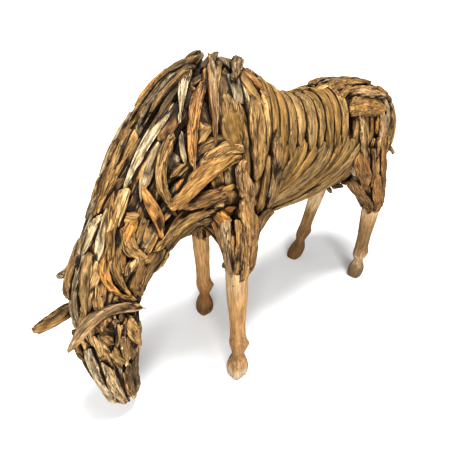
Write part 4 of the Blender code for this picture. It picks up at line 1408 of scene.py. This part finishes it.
# %% Shapes and woods of single sticks
SHAPES = {                             # outlines that differ from the solid's own
    "nose_plank_a": "plank", "nose_plank_b": "plank", "right_nose_plank": "plank",
    "crest_rod": "plank", "shoulder_plate": "oval", "withers_plate": "oval",
    "rump_stick_a": "oval", "rump_stick_b": "leaf", "right_ear": "leaf",
}
USUAL_WIDTH = 0.92                     # share of the solid's width
WIDTHS = {                             # the same share, where it is a stick's own
    "mane_stick_a": 0.55, "mane_stick_b": 0.88, "mane_stick_c": 0.7, "mane_stick_l": 0.75,
    "mane_stick_m": 0.85, "left_ear": 0.95, "right_ear": 1.2, "rump_stick_a": 0.8,
    "rump_stick_b": 0.6, "shoulder_plate": 1.3, "shoulder_plank_a": 0.95,
    "shoulder_plank_b": 0.95, "chest_plank": 0.95, "nose_plank_a": 1.05, "nose_plank_b": 1.08,
    "haunch_plank_a": 1.0, "haunch_plank_b": 1.0, "haunch_plank_c": 1.0,
}
LIFTED = {                             # metres a stick stands further out than its solid
    "shoulder_plank_b": 0.011, "shoulder_plank_c": 0.005, "rump_stick_b": 0.006,
    "rump_stick_a": -0.009,
}
OWN_WOOD = {                           # lightness, greyness and warmth, where they are its own
    "left_ear": (0.45, 0.0, 0.45), "crest_rod": (0.65, 0.0, 0.6),
    "withers_plate": (0.45, 0.1, 0.2), "shoulder_plate": (0.42, 0.0, 0.1),
    "shoulder_plank_a": (0.5, 0.1, 0.1), "shoulder_plank_b": (0.42, 0.2, 0.1),
    "shoulder_plank_c": (0.55, 0.2, 0.1), "chest_leaf": (0.65, 0.0, 0.2),
    "throat_plank": (0.6, 0.1, 0.0), "haunch_plank_b": (0.4, 0.0, 0.4),
    "rump_stick_a": (0.5, 0.0, 0.0), "rump_stick_b": (0.45, 0.55, 0.0),
    "nose_plank_a": (0.68, 0.8, 0.15), "nose_plank_b": (0.6, 0.6, 0.15),
    "mane_stick_a": (0.3, 0.1, 0.2), "mane_stick_b": (0.66, 0.6, 0.0),
    "mane_stick_e": (0.5, 0.0, 0.4), "mane_stick_k": (0.5, 0.0, 0.1),
    "mane_stick_l": (0.28, 0.0, 0.9), "mane_stick_m": (0.6, 0.6, 0.0),
    "mane_stick_n": (0.2, 0.4, 0.0), "mane_stick_o": (0.3, 0.7, 0.0),
}
print("sticks with a wood of their own:", len(OWN_WOOD))

# %% Paths measured from the solids
GROW = 0.008                           # metres added to the thickness, so that furrows have depth
EAR_BOW = 0.045                        # the left ear's middle is bowed up by this much


def measured(node, free, slices, wood, seed):
    """A stick along the solid of a CAD node; a free one doesn't lie on the body."""
    points, pairs = edges_of(node)
    middle = (points.max(axis=0) + points.min(axis=0)) / 2
    axes = np.linalg.svd(points - points.mean(axis=0), full_matrices=False)[2]
    axis = axes[0]
    reach = (points - middle) @ axis
    low, high = reach.min(), reach.max()
    rows = []
    for level in low + (high - low) * np.linspace(0.02, 0.98, slices):
        spots = cut(points, pairs, reach, level)
        centre = (spots.max(axis=0) + spots.min(axis=0)) / 2
        out = axes[2] if free else normal_near(centre)
        out = out - axis * (out @ axis)
        out /= np.linalg.norm(out)
        side = np.cross(axis, out)
        u, v = spots @ side, spots @ out
        centre = (centre + side * ((u.max() + u.min()) / 2 - centre @ side)
                  + out * ((v.max() + v.min()) / 2 - centre @ out))
        rows.append((*centre, *out, (u.max() - u.min()) / 2, (v.max() - v.min()) / 2))
    rows = np.array(rows)              # middle, way out, half width and half thickness
    if rows[:3, 6].mean() < rows[-3:, 6].mean():
        rows = rows[::-1]
    rows = softened(rows, 2)
    shares = smooth_steps(max(12, int((high - low) / RING_STEP)))
    full = np.column_stack([np.interp(shares, np.linspace(0, 1, slices), rows[:, k]) for k in range(8)])
    ups = unit(full[:, 3:6])
    middles = full[:, :3] - ups * (GROW / 2 - LIFTED.get(node, 0.0))
    if node == "left_ear":
        side = np.cross(ups, axis)
        middles += side * np.sign(side[:, 2:]) * (EAR_BOW * np.sin(np.pi * shares))[:, None]
    made = stick(middles, ups, 1.0, 1.0, "plank", wood, seed, limp=4)
    made["half_wide"] = full[:, 6] * WIDTHS.get(node, USUAL_WIDTH)
    if node in SHAPES:
        outline = np.interp(shares, *np.array(ENDS[SHAPES[node]]).T)
        made["half_wide"] = full[:, 6].max() * WIDTHS.get(node, USUAL_WIDTH) * outline
    made["half_thick"] = full[:, 7] + GROW / 2
    return made


# %% Every large stick
REBUILT = set(STRETCHES) | {n for n in NODES if n.endswith(("_leg", "forearm_sticks", "thigh_sticks"))}
for index, node in enumerate(sorted(set(NODES) - REBUILT)):
    free = node.startswith("tail") or node.endswith("_ear")
    plate = node.endswith("plate")
    wood = OWN_WOOD.get(node) or any_wood(0.55, 0.0, 0.0)
    made = measured(node, free, 5 if plate else 11, wood, index * 1.37)
    if node.startswith(("mane", "right_mane")) and node not in OWN_WOOD:
        darker_on_the_crest(made)
    rough = {"wood": "smooth_tan", "Edge_wander": 0.06, "Gnarl": 0.002, "Furrow": 0.002} if plate \
        else {"Edge_wander": 0.2, "Gnarl": 0.005, "Furrow": 0.006}
    finish_piece(node + "_wood", [made], SLOT_OF[node], node, **rough)

# %% [markdown]
# ## Dark gaps
# Little light gets where the wood is shut in, so the gaps of a driftwood sculpture are nearly
# black with shade, which is painted into the wood here. To find them, we fill a grid of small
# cells with the wood of all the sticks and blur it, a little and some more. Each is read in
# front of a point, the sharper one close by and the softer one further out, and the larger
# value says how much wood that point faces. The material turns it into painted shade in the gaps.

# %% Filling the cells
CELL, MARGIN = 0.005, 0.08             # size of a cell, and the grid's reach past the CAD
low_corner = np.array(CAD_BOX[0]) - MARGIN
shape = np.ceil((np.array(CAD_BOX[1]) + MARGIN - low_corner) / CELL).astype(int)
filled = np.zeros(shape, np.float32)


def fill(points):
    """Marks the cells that some points lie in."""
    cells = ((points.reshape(-1, 3) - low_corner) / CELL).astype(int)
    cells = cells[((cells >= 0) & (cells < shape)).all(axis=1)]
    filled[cells[:, 0], cells[:, 1], cells[:, 2]] = 1.0


def fill_stick(s):
    """Marks the cells inside one stick."""
    fine = np.arange(0, s["run"][-1], CELL)
    table = np.column_stack((s["spot"], s["side"] * s["half_wide"][:, None],
                             s["up"] * s["half_thick"][:, None]))
    table = np.column_stack([np.interp(fine, s["run"] - s["run"][0], table[:, k]) for k in range(9)])
    u, w = (part.ravel()[:, None] for part in np.meshgrid(np.linspace(-0.95, 0.95, 13),
                                                          np.linspace(-0.95, 0.95, 9)))
    fill(table[:, None, 0:3] + table[:, None, 3:6] * u + table[:, None, 6:9] * w)


for s in ALL_STICKS:
    fill_stick(s)
inside_places = np.repeat(np.linspace(0, 6, 600), 240)
inside_turns = np.tile(np.arange(240) * 1.5, 600)
surface_spots = skin(inside_places, inside_turns)
ways = middle_and_way(inside_places, inside_turns)[1]
for depth in np.arange(0.02, 0.06, CELL):
    fill(surface_spots - ways * depth)
print("cells with wood:", int(filled.sum()), "of", filled.size)


# %% How shut-in each point is
def blurred(cells, reach):
    """A running mean over reach cells either way, taken twice along each axis."""
    for axis in (0, 1, 2, 0, 1, 2):
        sums = np.cumsum(cells, axis=axis)
        cells = (np.roll(sums, -reach, axis) - np.roll(sums, reach + 1, axis)) / (2 * reach + 1)
    return np.clip(cells, 0, 1)


NEAR_AND_FAR = ((0.006, blurred(filled, 1)), (0.012, blurred(filled, 3)))   # metres ahead, grid


def shut_in(piece):
    """Stores how much wood each point of a piece faces, close by or a little further out."""
    count = len(piece.data.vertices)
    spots, normals = np.zeros(count * 3), np.zeros(count * 3)
    piece.data.vertices.foreach_get("co", spots)
    piece.data.vertex_normals.foreach_get("vector", normals)
    values = np.zeros(count)
    for ahead, wood in NEAR_AND_FAR:
        cells = (spots.reshape(-1, 3) + normals.reshape(-1, 3) * ahead - low_corner) / CELL - 0.5
        cells = np.clip(cells, 0, shape - 2)
        first = cells.astype(int)
        part = cells - first
        read = np.zeros(count)
        for corner in np.ndindex(2, 2, 2):
            spot = first + corner
            share = np.prod(np.where(corner, part, 1 - part), axis=1)
            read += share * wood[spot[:, 0], spot[:, 1], spot[:, 2]]
        values = np.maximum(values, read)
    write(piece.data, "shut", values)
    return values.mean()


print("mean shut-in:", np.mean([shut_in(piece) for piece in PIECES]).round(2))

# %% [markdown]
# ## Floor and light
# The horse stands on a seamless white floor in a white room. A small softbox high above its
# back throws the soft shadow under the belly. A large one in front, on the side the camera
# stands on, fills the left side so that no leg goes black. Away from the horse the floor glows
# a little, which makes it run into the backdrop without an edge.

# %% Floor
FLOOR = 14.0                           # half of its side
sheet = bpy.data.meshes.new("floor")
corners = [(x * FLOOR, y * FLOOR, -0.001) for x, y in ((-1, -1), (1, -1), (1, 1), (-1, 1))]
sheet.from_pydata(corners, [], [(0, 1, 2, 3)])
pale = bpy.data.materials.new("pale floor")
pale.use_nodes = True
paint = pale.node_tree.nodes["Principled BSDF"].inputs
paint["Base Color"].default_value = (0.82, 0.82, 0.82, 1)
paint["Roughness"].default_value = 0.95
paint["Specular IOR Level"].default_value = 0.0
paint["Emission Color"].default_value = (1, 1, 1, 1)
t = Tree(pale.node_tree)
away = t.vector("LENGTH", t.add("ShaderNodeTexCoord").outputs["Object"])
glow = t.add("ShaderNodeMapRange", away.outputs["Value"], 1.5, 4.5, 0.07, 0.85)
seen = t.add("ShaderNodeLightPath").outputs["Is Camera Ray"]
t.give(paint["Emission Strength"], t.times(glow, seen))
sheet.materials.append(pale)
put("floor", sheet)
print("floor is", 2 * FLOOR, "m square")

# %% Light
world = bpy.data.worlds.new("studio")
world.use_nodes = True
bpy.context.scene.world = world
bpy.context.scene.view_settings.view_transform = "Standard"
bpy.context.scene.view_settings.look = "High Contrast"
t = Tree(world.node_tree)
seen = t.add("ShaderNodeLightPath").outputs["Is Camera Ray"]
backdrop = world.node_tree.nodes["Background"].inputs
backdrop["Color"].default_value = (1, 1, 1, 1)
t.give(backdrop["Strength"], t.line(seen, 0.78, 0.27))


def softbox(name, spot, target, size, watts):
    """A square lamp at a spot, turned to a target."""
    lamp = bpy.data.lights.new(name, "AREA")
    lamp.energy, lamp.size = watts, size
    aim(put(name, lamp), spot, Vector(target) - Vector(spot))
    print("softbox", name, watts, "W")


# name, spot, target, side of the box in metres, power
softbox("key", (-0.2, -0.65, 4.3), (0.1, 0, 0.6), 1.3, 225)
softbox("front", (-3.6, -4.0, 2.0), (0, 0, 0.6), 3.0, 375)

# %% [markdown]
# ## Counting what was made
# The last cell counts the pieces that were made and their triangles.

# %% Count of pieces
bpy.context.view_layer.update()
print("pieces:", len(PIECES), "triangles in all:", sum([triangles(piece) for piece in PIECES]))
